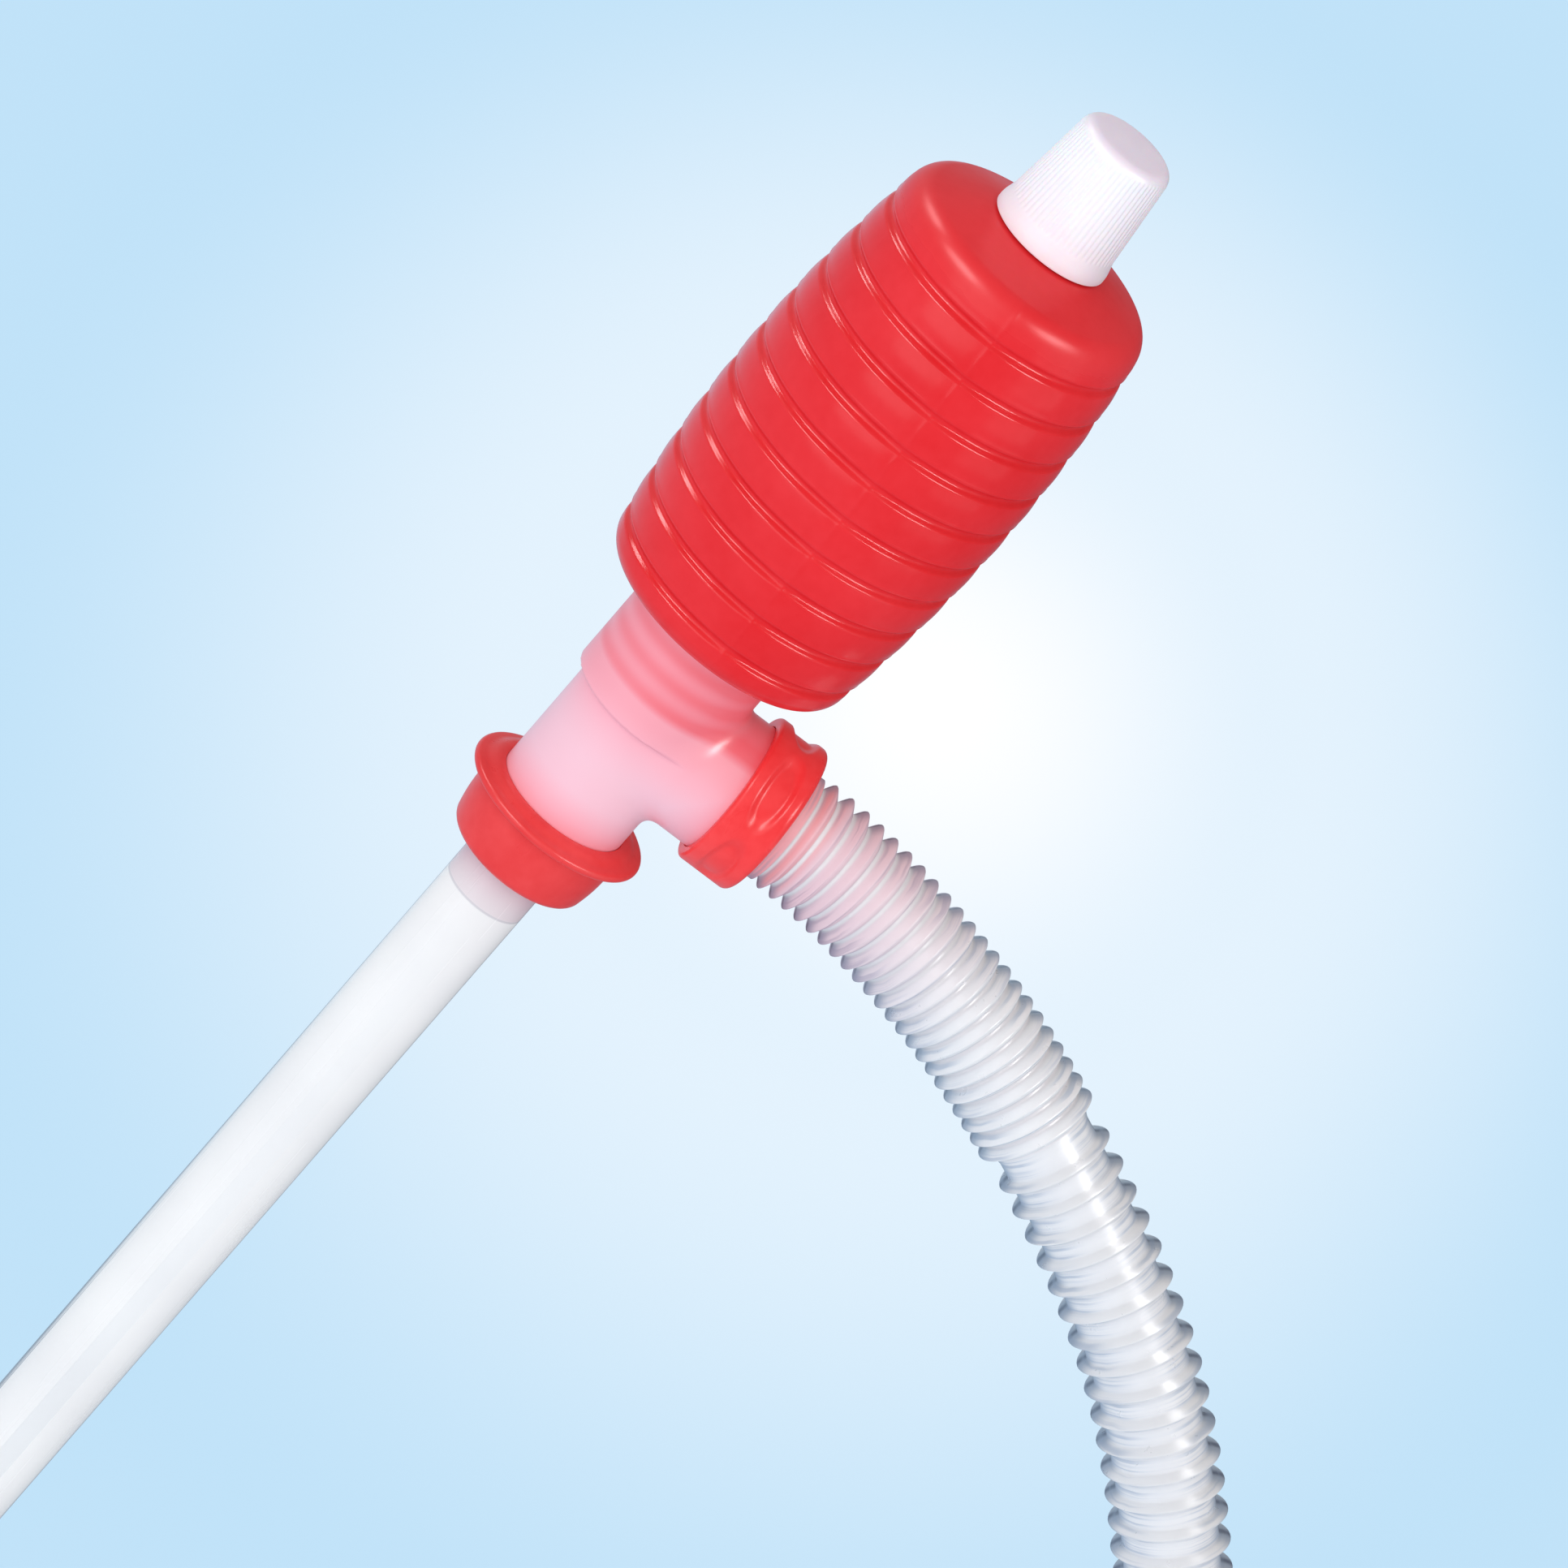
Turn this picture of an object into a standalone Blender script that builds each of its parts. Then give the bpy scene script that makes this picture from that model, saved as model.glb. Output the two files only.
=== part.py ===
"""Hand siphon pump: a ringed squeeze bulb on a tee with two check valves, an intake pipe and a ribbed hose.

Metres, +Z up along the pump's axis. The origin is where the axis crosses the underside of the collar's flange,
which rests on the tank's mouth: the pipe hangs below it, the tee and the bulb stand above it, and the hose
leaves along +X.
"""

import math

import bmesh
import bpy
from mathutils import Matrix, Vector

MM = 0.001

# Clearances
SEAT_GAP = 0.3 * MM        # between two pieces that rest face to face or slide together
RUN_GAP = 0.4 * MM         # round a piece that turns
CUT_OVER = 1.0 * MM        # how far a cutter runs past the face that it opens

# Tank collar: a stopper with a flange
FLANGE_RADIUS = 20.0 * MM
FLANGE_EDGE = 1.9 * MM
FLANGE_CROWN = 1.4 * MM    # rise of the flange's top from its edge to the tee
PLUG_TOP_RADIUS = 16.1 * MM
PLUG_FOOT_RADIUS = 14.9 * MM
PLUG_LENGTH = 13.0 * MM
PLUG_CHAMFER = 1.6 * MM

# Tee
TUBE_RADIUS = 14.1 * MM
TUBE_WALL = 1.7 * MM
TUBE_IN_COLLAR = 5.0 * MM
SOCKET_RADIUS = 16.2 * MM
SOCKET_WALL = 1.6 * MM
SOCKET_STEP_HEIGHT = 29.0 * MM
SOCKET_STEP_CHAMFER = 0.8 * MM
SOCKET_LENGTH = 24.1 * MM
LEDGE = 0.8 * MM           # step in the bore that stops the valve cage
BRANCH_HEIGHT = 26.4 * MM
BRANCH_RADIUS = 14.3 * MM
BRANCH_WALL = 1.9 * MM
BRANCH_REACH = 29.5 * MM

# Intake pipe
PIPE_RADIUS = 8.95 * MM
PIPE_WALL = 1.2 * MM
PIPE_LENGTH = 355.0 * MM
FOOT_SLOT_WIDTH = 4.0 * MM
FOOT_SLOT_HEIGHT = 7.0 * MM

# Intake valve: a standpipe with a spigot, a loose disc and a cage over it
SPIGOT_LENGTH = 17.5 * MM
STANDPIPE_WALL = 1.5 * MM
STANDPIPE_HEIGHT = 14.0 * MM
VALVE_FLANGE = 2.0 * MM
DISC_THICKNESS = 1.0 * MM
DISC_LIFT = 3.0 * MM
DISC_GUIDE_GAP = 0.8 * MM
CAGE_WALL = 1.6 * MM
CAGE_BAR_WIDTH = 2.2 * MM
CAGE_BAR_HEIGHT = 1.6 * MM

# Outlet valve: a ring with a hanging flap
OUTLET_SEAT_REACH = 15.5 * MM
OUTLET_SEAT_THICKNESS = 2.0 * MM
OUTLET_PORT_RADIUS = 6.2 * MM
OUTLET_LIP_WIDTH = 1.1 * MM
OUTLET_LIP_HEIGHT = 0.5 * MM
FLAP_OVERLAP = 2.0 * MM    # how far the flap reaches past the port all round
FLAP_THICKNESS = 1.2 * MM
HINGE_BAR_RADIUS = 0.8 * MM
HINGE_ABOVE_FLAP = 1.3 * MM
HINGE_ARM_WIDTH = 4.8 * MM
LUG_THICKNESS = 1.6 * MM
LUG_WALL = 0.35 * MM

# Squeeze bulb
BULB_RADIUS = 31.0 * MM
BULB_HEIGHT = 99.6 * MM    # from its flat underside to the edge of the shoulder
BULB_WALL = 2.2 * MM
BARREL_DROP = 4.0 * MM     # how much narrower the barrel is at its ends
TOP_CORNER = 5.0 * MM
BOTTOM_CORNER = 4.5 * MM
SHOULDER_RISE = 3.4 * MM
RING_COUNT = 10
RING_PITCH = 9.2 * MM
FIRST_RING = 7.2 * MM      # height of the lowest ring above the underside
RING_WIDTH = 3.0 * MM
RING_DEPTH = 0.75 * MM
NECK_LENGTH = 18.0 * MM
NECK_RIB_COUNT = 3
NECK_RIB_PITCH = 5.2 * MM
NECK_RIB_HEIGHT = 0.9 * MM
NECK_WALL = 2.4 * MM
SPOUT_RADIUS = 8.6 * MM
SPOUT_WALL = 1.8 * MM
BEAD_RADIUS = 10.6 * MM
BEAD_HEIGHT = 2.2 * MM

# Vent cap and its liner
CAP_FOOT_RADIUS = 12.85 * MM
CAP_WAIST_RADIUS = 12.1 * MM
CAP_TOP_RADIUS = 10.3 * MM
CAP_HEIGHT = 25.2 * MM
CAP_BAND = 4.0 * MM        # plain band at the foot
CAP_TOP_THICKNESS = 2.6 * MM
CAP_EDGE = 2.0 * MM
CAP_RIB_COUNT = 60
CAP_RIB_DEPTH = 0.35 * MM
LINER_THICKNESS = 1.2 * MM

# Hose nut
NUT_RADIUS = 16.8 * MM
NUT_LENGTH = 11.8 * MM
NUT_LIP = 2.6 * MM
NUT_EDGE = 1.4 * MM
GRIP_COUNT = 5
GRIP_START = math.radians(-2.7)
GRIP_LENGTH = 18.5 * MM    # round the nut
GRIP_WIDTH = 6.2 * MM
GRIP_DEPTH = 0.8 * MM

# Outlet hose
HOSE_RADIUS = 12.0 * MM
HOSE_VALLEY_RADIUS = 10.2 * MM
HOSE_BORE_RADIUS = 8.7 * MM
HOSE_NECK_RADIUS = 12.0 * MM
HOSE_LEAD = 2.4 * MM       # smooth length between the nut and the first groove
NECK_STEP = 0.7 * MM       # length over which the neck drops into that groove
HOSE_FLANGE_RADIUS = 14.0 * MM
FINE_RIB_RADIUS = 12.6 * MM
FINE_RIB_PITCH = 3.62 * MM
FINE_RIB_COUNT = 22
COARSE_RIB_PITCH = 6.2 * MM
COARSE_VALLEY_RADIUS = 9.7 * MM
PLAIN_GAP = 3.5 * MM       # smooth length between the fine and the coarse ribs
CUFF_RADIUS = 11.2 * MM
CUFF_LENGTH = 24.0 * MM
HOSE_STRAIGHT = 12.0 * MM  # the hose leaves the branch straight for this length
HOSE_FLANGE = 1.9 * MM     # thickness of the flange that the nut holds
FLANGE_STEP = 0.1 * MM     # length over which that flange drops to the hose's neck

# Hand-chosen points of the hose beyond its straight start: millimetres along +X and +Z from its end face.
HOSE_BEND = [
    (23.9, -1.1), (35.7, -3.1), (48.3, -6.0), (60.6, -9.6), (72.8, -14.0), (84.7, -19.0), (96.4, -24.7),
    (107.8, -30.8), (118.9, -37.5), (129.7, -44.8), (139.8, -52.9), (149.4, -61.7), (158.5, -71.0),
    (167.1, -80.7), (175.0, -90.9), (182.3, -101.7), (188.5, -113.1), (193.6, -125.1), (197.6, -137.4),
    (200.4, -150.1), (202.3, -163.0), (203.3, -175.9), (203.6, -188.9), (203.6, -201.9), (203.6, -224.0),
    (203.6, -256.0), (203.6, -288.0), (203.6, -320.0), (203.6, -350.0), (203.6, -380.54),
]

# Facets round a piece
BULB_STEPS = 32
TEE_STEPS = 36
COLLAR_STEPS = 36
NUT_STEPS = 36
PIPE_STEPS = 24
VALVE_STEPS = 24
SMALL_STEPS = 12
HOSE_SAMPLES = 24          # steps of the smooth curve between two points of the route
BORE_STEP = 9.0 * MM       # length of the plain bore's straights
SHARP_ANGLE = math.radians(35)

# Heights and reaches that follow from the sizes above
TUBE_BORE = TUBE_RADIUS - TUBE_WALL
TUBE_FOOT_Z = -TUBE_IN_COLLAR
SOCKET_FLOOR_Z = SOCKET_STEP_HEIGHT + TUBE_WALL
SOCKET_TOP_Z = SOCKET_STEP_HEIGHT + SOCKET_LENGTH
SOCKET_BORE = SOCKET_RADIUS - SOCKET_WALL
BRANCH_BORE = BRANCH_RADIUS - BRANCH_WALL
COLLAR_FLOOR_Z = TUBE_FOOT_Z - SEAT_GAP
PIPE_BORE = PIPE_RADIUS - PIPE_WALL
PIPE_TOP_Z = COLLAR_FLOOR_Z
PIPE_FOOT_Z = PIPE_TOP_Z - PIPE_LENGTH
STANDPIPE_RADIUS = PIPE_BORE - SEAT_GAP
STANDPIPE_TOP_Z = TUBE_FOOT_Z + STANDPIPE_HEIGHT
VALVE_RADIUS = TUBE_BORE - SEAT_GAP
CAGE_BORE = VALVE_RADIUS - CAGE_WALL
DISC_Z = STANDPIPE_TOP_Z + SEAT_GAP
CAGE_STOP_Z = DISC_Z + DISC_THICKNESS + DISC_LIFT + SEAT_GAP
CAGE_FOOT_Z = TUBE_FOOT_Z + VALVE_FLANGE + SEAT_GAP
CAGE_TOP_Z = CAGE_STOP_Z + CAGE_BAR_HEIGHT
OUTLET_SEAT_FACE = OUTLET_SEAT_REACH + OUTLET_SEAT_THICKNESS
FLAP_RADIUS = OUTLET_PORT_RADIUS + FLAP_OVERLAP
FLAP_MIDDLE = OUTLET_SEAT_FACE + OUTLET_LIP_HEIGHT + SEAT_GAP + FLAP_THICKNESS / 2
HINGE_OFFSET = FLAP_RADIUS + HINGE_ABOVE_FLAP
LUG_RADIUS = HINGE_BAR_RADIUS + SEAT_GAP + LUG_WALL
BULB_FOOT_Z = SOCKET_TOP_Z + SEAT_GAP
BULB_EDGE_Z = BULB_FOOT_Z + BULB_HEIGHT
BULB_TOP_Z = BULB_EDGE_Z + SHOULDER_RISE
NECK_RADIUS = SOCKET_BORE - SEAT_GAP - NECK_RIB_HEIGHT
NECK_FOOT_Z = BULB_FOOT_Z - NECK_LENGTH
CAP_FOOT_Z = BULB_TOP_Z + RUN_GAP
CAP_TOP_Z = CAP_FOOT_Z + CAP_HEIGHT
LINER_TOP_Z = CAP_TOP_Z - CAP_TOP_THICKNESS - SEAT_GAP
SPOUT_TOP_Z = LINER_TOP_Z - LINER_THICKNESS - SEAT_GAP
CAP_BORE = SPOUT_RADIUS + RUN_GAP
HOSE_FACE = BRANCH_REACH + SEAT_GAP
NUT_BORE = BRANCH_RADIUS + RUN_GAP
NUT_LIP_FACE = HOSE_FACE + HOSE_FLANGE + SEAT_GAP
NUT_END = NUT_LIP_FACE + NUT_LIP
NUT_START = NUT_END - NUT_LENGTH


def clear_scene():
    for obj in list(bpy.data.objects):
        bpy.data.objects.remove(obj, do_unlink=True)


def new_collection(name):
    collection = bpy.data.collections.new(name)
    bpy.context.scene.collection.children.link(collection)
    return collection


clear_scene()
PARTS = new_collection("siphon_pump")
CUTTERS = new_collection("siphon_pump_cutters")
CUTTERS.hide_render = True
ROOT = bpy.data.objects.new("siphon_pump_root", None)
PARTS.objects.link(ROOT)


def plastic(name, colour, roughness, alpha=1.0):
    material = bpy.data.materials.new(name)
    material.use_nodes = True
    shader = material.node_tree.nodes["Principled BSDF"]
    shader.inputs["Base Color"].default_value = (*colour, 1.0)
    shader.inputs["Roughness"].default_value = roughness
    shader.inputs["Metallic"].default_value = 0.0
    shader.inputs["Alpha"].default_value = alpha
    material.diffuse_color = (*colour, alpha)
    return material


RED = plastic("red_polyethylene", (0.78, 0.045, 0.05), 0.32)
WHITE = plastic("white_polypropylene", (0.93, 0.91, 0.93), 0.42)
PINK = plastic("translucent_tee", (0.93, 0.55, 0.65), 0.30, 0.75)
MILKY = plastic("milky_pipe", (0.88, 0.88, 0.90), 0.35, 0.9)
CLEAR = plastic("clear_hose", (0.86, 0.87, 0.90), 0.20, 0.55)
NATURAL = plastic("natural_insert", (0.85, 0.84, 0.82), 0.45)
RUBBER = plastic("soft_seal", (0.30, 0.30, 0.32), 0.60)


def solid(name, mesh, location=(0.0, 0.0, 0.0), rotation=(0.0, 0.0, 0.0)):
    obj = bpy.data.objects.new(name, mesh)
    obj.location = location
    obj.rotation_euler = rotation
    PARTS.objects.link(obj)
    return obj


ALONG_X = (0.0, math.pi / 2, 0.0)


def turned(name, profile, steps, closed=True, location=(0.0, 0.0, 0.0), rotation=(0.0, 0.0, 0.0)):
    """A profile of (radius, height) points, down its outer side, turned round its own Z axis."""
    mesh = bpy.data.meshes.new(name)
    count = len(profile)
    edges = [(i, i + 1) for i in range(count - 1)]
    if closed:
        edges.append((count - 1, 0))
    mesh.from_pydata([(radius, 0.0, height) for radius, height in profile], edges, [])
    obj = solid(name, mesh, location, rotation)
    screw = obj.modifiers.new("turn", "SCREW")
    screw.axis = "Z"
    screw.angle = 2 * math.pi
    screw.steps = steps
    screw.render_steps = steps
    screw.use_merge_vertices = True
    screw.merge_threshold = 0.00001
    return obj


def round_bar(name, radius, length, steps, location, rotation=(0.0, 0.0, 0.0)):
    """A plain cylinder centred on its location."""
    shape = bmesh.new()
    bmesh.ops.create_cone(
        shape, cap_ends=True, segments=steps, radius1=radius, radius2=radius, depth=length
    )
    mesh = bpy.data.meshes.new(name)
    shape.to_mesh(mesh)
    shape.free()
    return solid(name, mesh, location, rotation)


def block(name, low, high):
    """A box between two corners."""
    low, high = Vector(low), Vector(high)
    shape = bmesh.new()
    bmesh.ops.create_cube(shape, size=1.0)
    bmesh.ops.scale(shape, vec=high - low, verts=shape.verts)
    mesh = bpy.data.meshes.new(name)
    shape.to_mesh(mesh)
    shape.free()
    return solid(name, mesh, (low + high) / 2)


def combine(obj, tool, operation):
    """Cut the tool out of a piece or join it on, and put the tool away."""
    PARTS.objects.unlink(tool)
    CUTTERS.objects.link(tool)
    tool.hide_render = True
    tool.display_type = "WIRE"
    step = obj.modifiers.new(tool.name, "BOOLEAN")
    step.operation = operation
    step.object = tool
    step.solver = "EXACT"


def cut(obj, tool):
    combine(obj, tool, "DIFFERENCE")


def join(obj, tool):
    combine(obj, tool, "UNION")


def settle(obj):
    """Keep a piece's mesh as its modifiers leave it."""
    bpy.context.view_layer.update()
    evaluated = obj.evaluated_get(bpy.context.evaluated_depsgraph_get())
    mesh = bpy.data.meshes.new_from_object(evaluated)
    obj.modifiers.clear()
    obj.data = mesh
    return obj


def finish(obj, material):
    """Settle a piece, smooth its round faces, give it its material and hang it on the root."""
    settle(obj)
    obj.data.shade_smooth()
    obj.data.set_sharp_from_angle(angle=SHARP_ANGLE)
    obj.data.materials.clear()
    obj.data.materials.append(material)
    obj.parent = ROOT
    return obj


def arc(centre_radius, centre_height, size, start, end, count):
    """Points round a corner, from one angle to another in degrees, counted from straight outwards."""
    points = []
    for i in range(count + 1):
        angle = math.radians(start + (end - start) * i / count)
        points.append((centre_radius + size * math.cos(angle), centre_height + size * math.sin(angle)))
    return points


def barrel_radius(height):
    """The bulb's smooth barrel, widest at mid height."""
    middle = BULB_FOOT_Z + BULB_HEIGHT / 2
    off = (height - middle) / (BULB_HEIGHT / 2)
    return BULB_RADIUS - BARREL_DROP * off * off


def bulb_rings():
    """The barrel's outline from top to bottom, with a rounded groove at each ring."""
    points = []
    for i in reversed(range(RING_COUNT)):
        height = BULB_FOOT_Z + FIRST_RING + i * RING_PITCH
        top, foot = height + RING_WIDTH / 2, height - RING_WIDTH / 2
        points.append((barrel_radius(top), top))
        points.append((barrel_radius(height) - RING_DEPTH, height))
        points.append((barrel_radius(foot), foot))
    return points


def bulb_neck():
    """The neck below the bulb, whose ribs grip the tee's socket."""
    points = [(NECK_RADIUS, BULB_FOOT_Z)]
    for i in range(NECK_RIB_COUNT):
        crest = BULB_FOOT_Z - NECK_RIB_PITCH * (i + 0.5)
        points.append((NECK_RADIUS, crest + NECK_RIB_HEIGHT))
        points.append((NECK_RADIUS + NECK_RIB_HEIGHT, crest))
        points.append((NECK_RADIUS, crest - 2 * NECK_RIB_HEIGHT))
    points.append((NECK_RADIUS, NECK_FOOT_Z))
    return points


def make_squeeze_bulb():
    top_corner_z = BULB_EDGE_Z - TOP_CORNER
    foot_corner_z = BULB_FOOT_Z + BOTTOM_CORNER
    top_corner = barrel_radius(top_corner_z) - TOP_CORNER
    foot_corner = barrel_radius(foot_corner_z) - BOTTOM_CORNER
    spout_bore = SPOUT_RADIUS - SPOUT_WALL
    neck_bore = NECK_RADIUS - NECK_WALL
    outer = [
        (SPOUT_RADIUS, SPOUT_TOP_Z),
        (SPOUT_RADIUS, BULB_TOP_Z + BEAD_HEIGHT),
        (BEAD_RADIUS, BULB_TOP_Z + BEAD_HEIGHT),
        (BEAD_RADIUS, BULB_TOP_Z),
    ]
    outer += arc(top_corner, top_corner_z, TOP_CORNER, 80, 0, 4)
    outer += bulb_rings()
    outer += arc(foot_corner, foot_corner_z, BOTTOM_CORNER, 0, -90, 3)
    outer += bulb_neck()
    inner = [(neck_bore, NECK_FOOT_Z), (neck_bore, BULB_FOOT_Z + BULB_WALL)]
    inner.append((foot_corner, BULB_FOOT_Z + BULB_WALL))
    for share in (0.1, 0.3, 0.5, 0.7, 0.9):
        height = BULB_FOOT_Z + share * BULB_HEIGHT
        inner.append((barrel_radius(height) - RING_DEPTH - BULB_WALL, height))
    inner.append((top_corner, BULB_EDGE_Z - BULB_WALL))
    inner.append((spout_bore, BULB_TOP_Z - BULB_WALL))
    inner.append((spout_bore, SPOUT_TOP_Z))
    finish(turned("squeeze_bulb", outer + inner, BULB_STEPS), RED)


def flute(mesh, low, high, radius, count, depth):
    """Draw in every second column of points between two heights and outside a radius, to leave fine ribs."""
    column = math.pi / count
    for vertex in mesh.vertices:
        x, y, z = vertex.co
        if low <= z <= high and math.hypot(x, y) > radius:
            if round(math.atan2(y, x) / column) % 2:
                vertex.co = (x * (1 - depth / math.hypot(x, y)), y * (1 - depth / math.hypot(x, y)), z)


def make_vent_cap():
    rib_top = CAP_TOP_Z - CAP_EDGE
    rib_foot = CAP_FOOT_Z + CAP_BAND
    edge_centre = CAP_TOP_RADIUS - CAP_EDGE
    outer = [(0.0, CAP_TOP_Z)]
    outer += arc(edge_centre, rib_top, CAP_EDGE, 90, 20, 3)
    outer += [
        (CAP_TOP_RADIUS, rib_top - CAP_EDGE / 2),
        (CAP_WAIST_RADIUS, rib_foot + CAP_EDGE / 2),
        (CAP_WAIST_RADIUS, rib_foot),
        (CAP_FOOT_RADIUS, CAP_FOOT_Z + CAP_EDGE / 2),
        (CAP_FOOT_RADIUS, CAP_FOOT_Z),
        (0.0, CAP_FOOT_Z),
    ]
    cap = settle(turned("vent_cap", outer, 2 * CAP_RIB_COUNT, closed=False))
    flute(cap.data, rib_foot + CAP_EDGE / 4, rib_top - CAP_EDGE / 4, edge_centre, CAP_RIB_COUNT, CAP_RIB_DEPTH)
    relief_z = BULB_TOP_Z + BEAD_HEIGHT + RUN_GAP
    hollow = [
        (0.0, LINER_TOP_Z + SEAT_GAP),
        (CAP_BORE, LINER_TOP_Z + SEAT_GAP),
        (CAP_BORE, relief_z + BEAD_RADIUS + RUN_GAP - CAP_BORE),
        (BEAD_RADIUS + RUN_GAP, relief_z),
        (BEAD_RADIUS + RUN_GAP, CAP_FOOT_Z - CUT_OVER),
        (0.0, CAP_FOOT_Z - CUT_OVER),
    ]
    cut(cap, turned("vent_cap_hollow", hollow, VALVE_STEPS, closed=False))
    finish(cap, WHITE)
    liner = round_bar(
        "vent_cap_liner", SPOUT_RADIUS, LINER_THICKNESS, VALVE_STEPS,
        (0.0, 0.0, LINER_TOP_Z - LINER_THICKNESS / 2),
    )
    finish(liner, RUBBER)


def make_tee_body():
    outline = [
        (0.0, SOCKET_TOP_Z),
        (SOCKET_RADIUS, SOCKET_TOP_Z),
        (SOCKET_RADIUS, SOCKET_STEP_HEIGHT + SOCKET_STEP_CHAMFER),
        (TUBE_RADIUS, SOCKET_STEP_HEIGHT),
        (TUBE_RADIUS, TUBE_FOOT_Z),
        (0.0, TUBE_FOOT_Z),
    ]
    bore = [
        (0.0, SOCKET_TOP_Z + CUT_OVER),
        (SOCKET_BORE, SOCKET_TOP_Z + CUT_OVER),
        (SOCKET_BORE, SOCKET_FLOOR_Z),
        (TUBE_BORE - LEDGE, SOCKET_FLOOR_Z),
        (TUBE_BORE - LEDGE, CAGE_TOP_Z + SEAT_GAP),
        (TUBE_BORE, CAGE_TOP_Z + SEAT_GAP),
        (TUBE_BORE, TUBE_FOOT_Z - CUT_OVER),
        (0.0, TUBE_FOOT_Z - CUT_OVER),
    ]
    branch_at = (BRANCH_REACH / 2, 0.0, BRANCH_HEIGHT)
    drill_length = BRANCH_REACH + CUT_OVER
    drill_at = (drill_length / 2, 0.0, BRANCH_HEIGHT)
    tee = turned("tee_body", outline, TEE_STEPS, closed=False)
    join(tee, round_bar("tee_branch", BRANCH_RADIUS, BRANCH_REACH, TEE_STEPS, branch_at, ALONG_X))
    cut(tee, turned("tee_bore", bore, TEE_STEPS, closed=False))
    cut(tee, round_bar("branch_bore", BRANCH_BORE, drill_length, TEE_STEPS, drill_at, ALONG_X))
    finish(tee, PINK)


def make_tank_collar():
    socket = TUBE_RADIUS + SEAT_GAP
    pipe_hole = PIPE_RADIUS + SEAT_GAP
    crown_radius = socket + FLANGE_CROWN
    profile = [
        (socket, FLANGE_EDGE + FLANGE_CROWN),
        (crown_radius, FLANGE_EDGE + FLANGE_CROWN),
    ]
    profile += arc(FLANGE_RADIUS - FLANGE_EDGE / 2, FLANGE_EDGE / 2, FLANGE_EDGE / 2, 90, -90, 4)
    profile += [
        (PLUG_TOP_RADIUS, 0.0),
        (PLUG_FOOT_RADIUS, -PLUG_LENGTH + PLUG_CHAMFER),
        (PLUG_FOOT_RADIUS - PLUG_CHAMFER, -PLUG_LENGTH),
        (pipe_hole, -PLUG_LENGTH),
        (pipe_hole, COLLAR_FLOOR_Z),
        (socket, COLLAR_FLOOR_Z),
    ]
    finish(turned("tank_collar", profile, COLLAR_STEPS), RED)


def make_intake_pipe():
    profile = [
        (PIPE_RADIUS, PIPE_TOP_Z),
        (PIPE_RADIUS, PIPE_FOOT_Z),
        (PIPE_BORE, PIPE_FOOT_Z),
        (PIPE_BORE, PIPE_TOP_Z),
    ]
    pipe = turned("intake_pipe", profile, PIPE_STEPS)
    reach = PIPE_RADIUS + CUT_OVER
    side = FOOT_SLOT_WIDTH / 2
    low, high = PIPE_FOOT_Z - CUT_OVER, PIPE_FOOT_Z + FOOT_SLOT_HEIGHT
    cut(pipe, block("foot_slot_x", (-reach, -side, low), (reach, side, high)))
    cut(pipe, block("foot_slot_y", (-side, -reach, low), (side, reach, high)))
    finish(pipe, MILKY)


def make_intake_valve():
    port = STANDPIPE_RADIUS - STANDPIPE_WALL
    flange_top = TUBE_FOOT_Z + VALVE_FLANGE
    seat = [
        (STANDPIPE_RADIUS, STANDPIPE_TOP_Z),
        (STANDPIPE_RADIUS, flange_top),
        (VALVE_RADIUS, flange_top),
        (VALVE_RADIUS, TUBE_FOOT_Z),
        (STANDPIPE_RADIUS, TUBE_FOOT_Z),
        (STANDPIPE_RADIUS, TUBE_FOOT_Z - SPIGOT_LENGTH),
        (port, TUBE_FOOT_Z - SPIGOT_LENGTH),
        (port, STANDPIPE_TOP_Z),
    ]
    finish(turned("intake_valve_seat", seat, VALVE_STEPS), NATURAL)
    disc_radius = CAGE_BORE - DISC_GUIDE_GAP
    disc_at = (0.0, 0.0, DISC_Z + DISC_THICKNESS / 2)
    finish(round_bar("intake_valve_disc", disc_radius, DISC_THICKNESS, VALVE_STEPS, disc_at), RUBBER)
    ring = [
        (VALVE_RADIUS, CAGE_TOP_Z),
        (VALVE_RADIUS, CAGE_FOOT_Z),
        (CAGE_BORE, CAGE_FOOT_Z),
        (CAGE_BORE, CAGE_TOP_Z),
    ]
    cage = turned("intake_valve_cage", ring, VALVE_STEPS)
    reach = CAGE_BORE + CAGE_WALL / 2
    side = CAGE_BAR_WIDTH / 2
    join(cage, block("cage_bar_x", (-reach, -side, CAGE_STOP_Z), (reach, side, CAGE_TOP_Z)))
    join(cage, block("cage_bar_y", (-side, -reach, CAGE_STOP_Z), (side, reach, CAGE_TOP_Z)))
    finish(cage, NATURAL)


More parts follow.
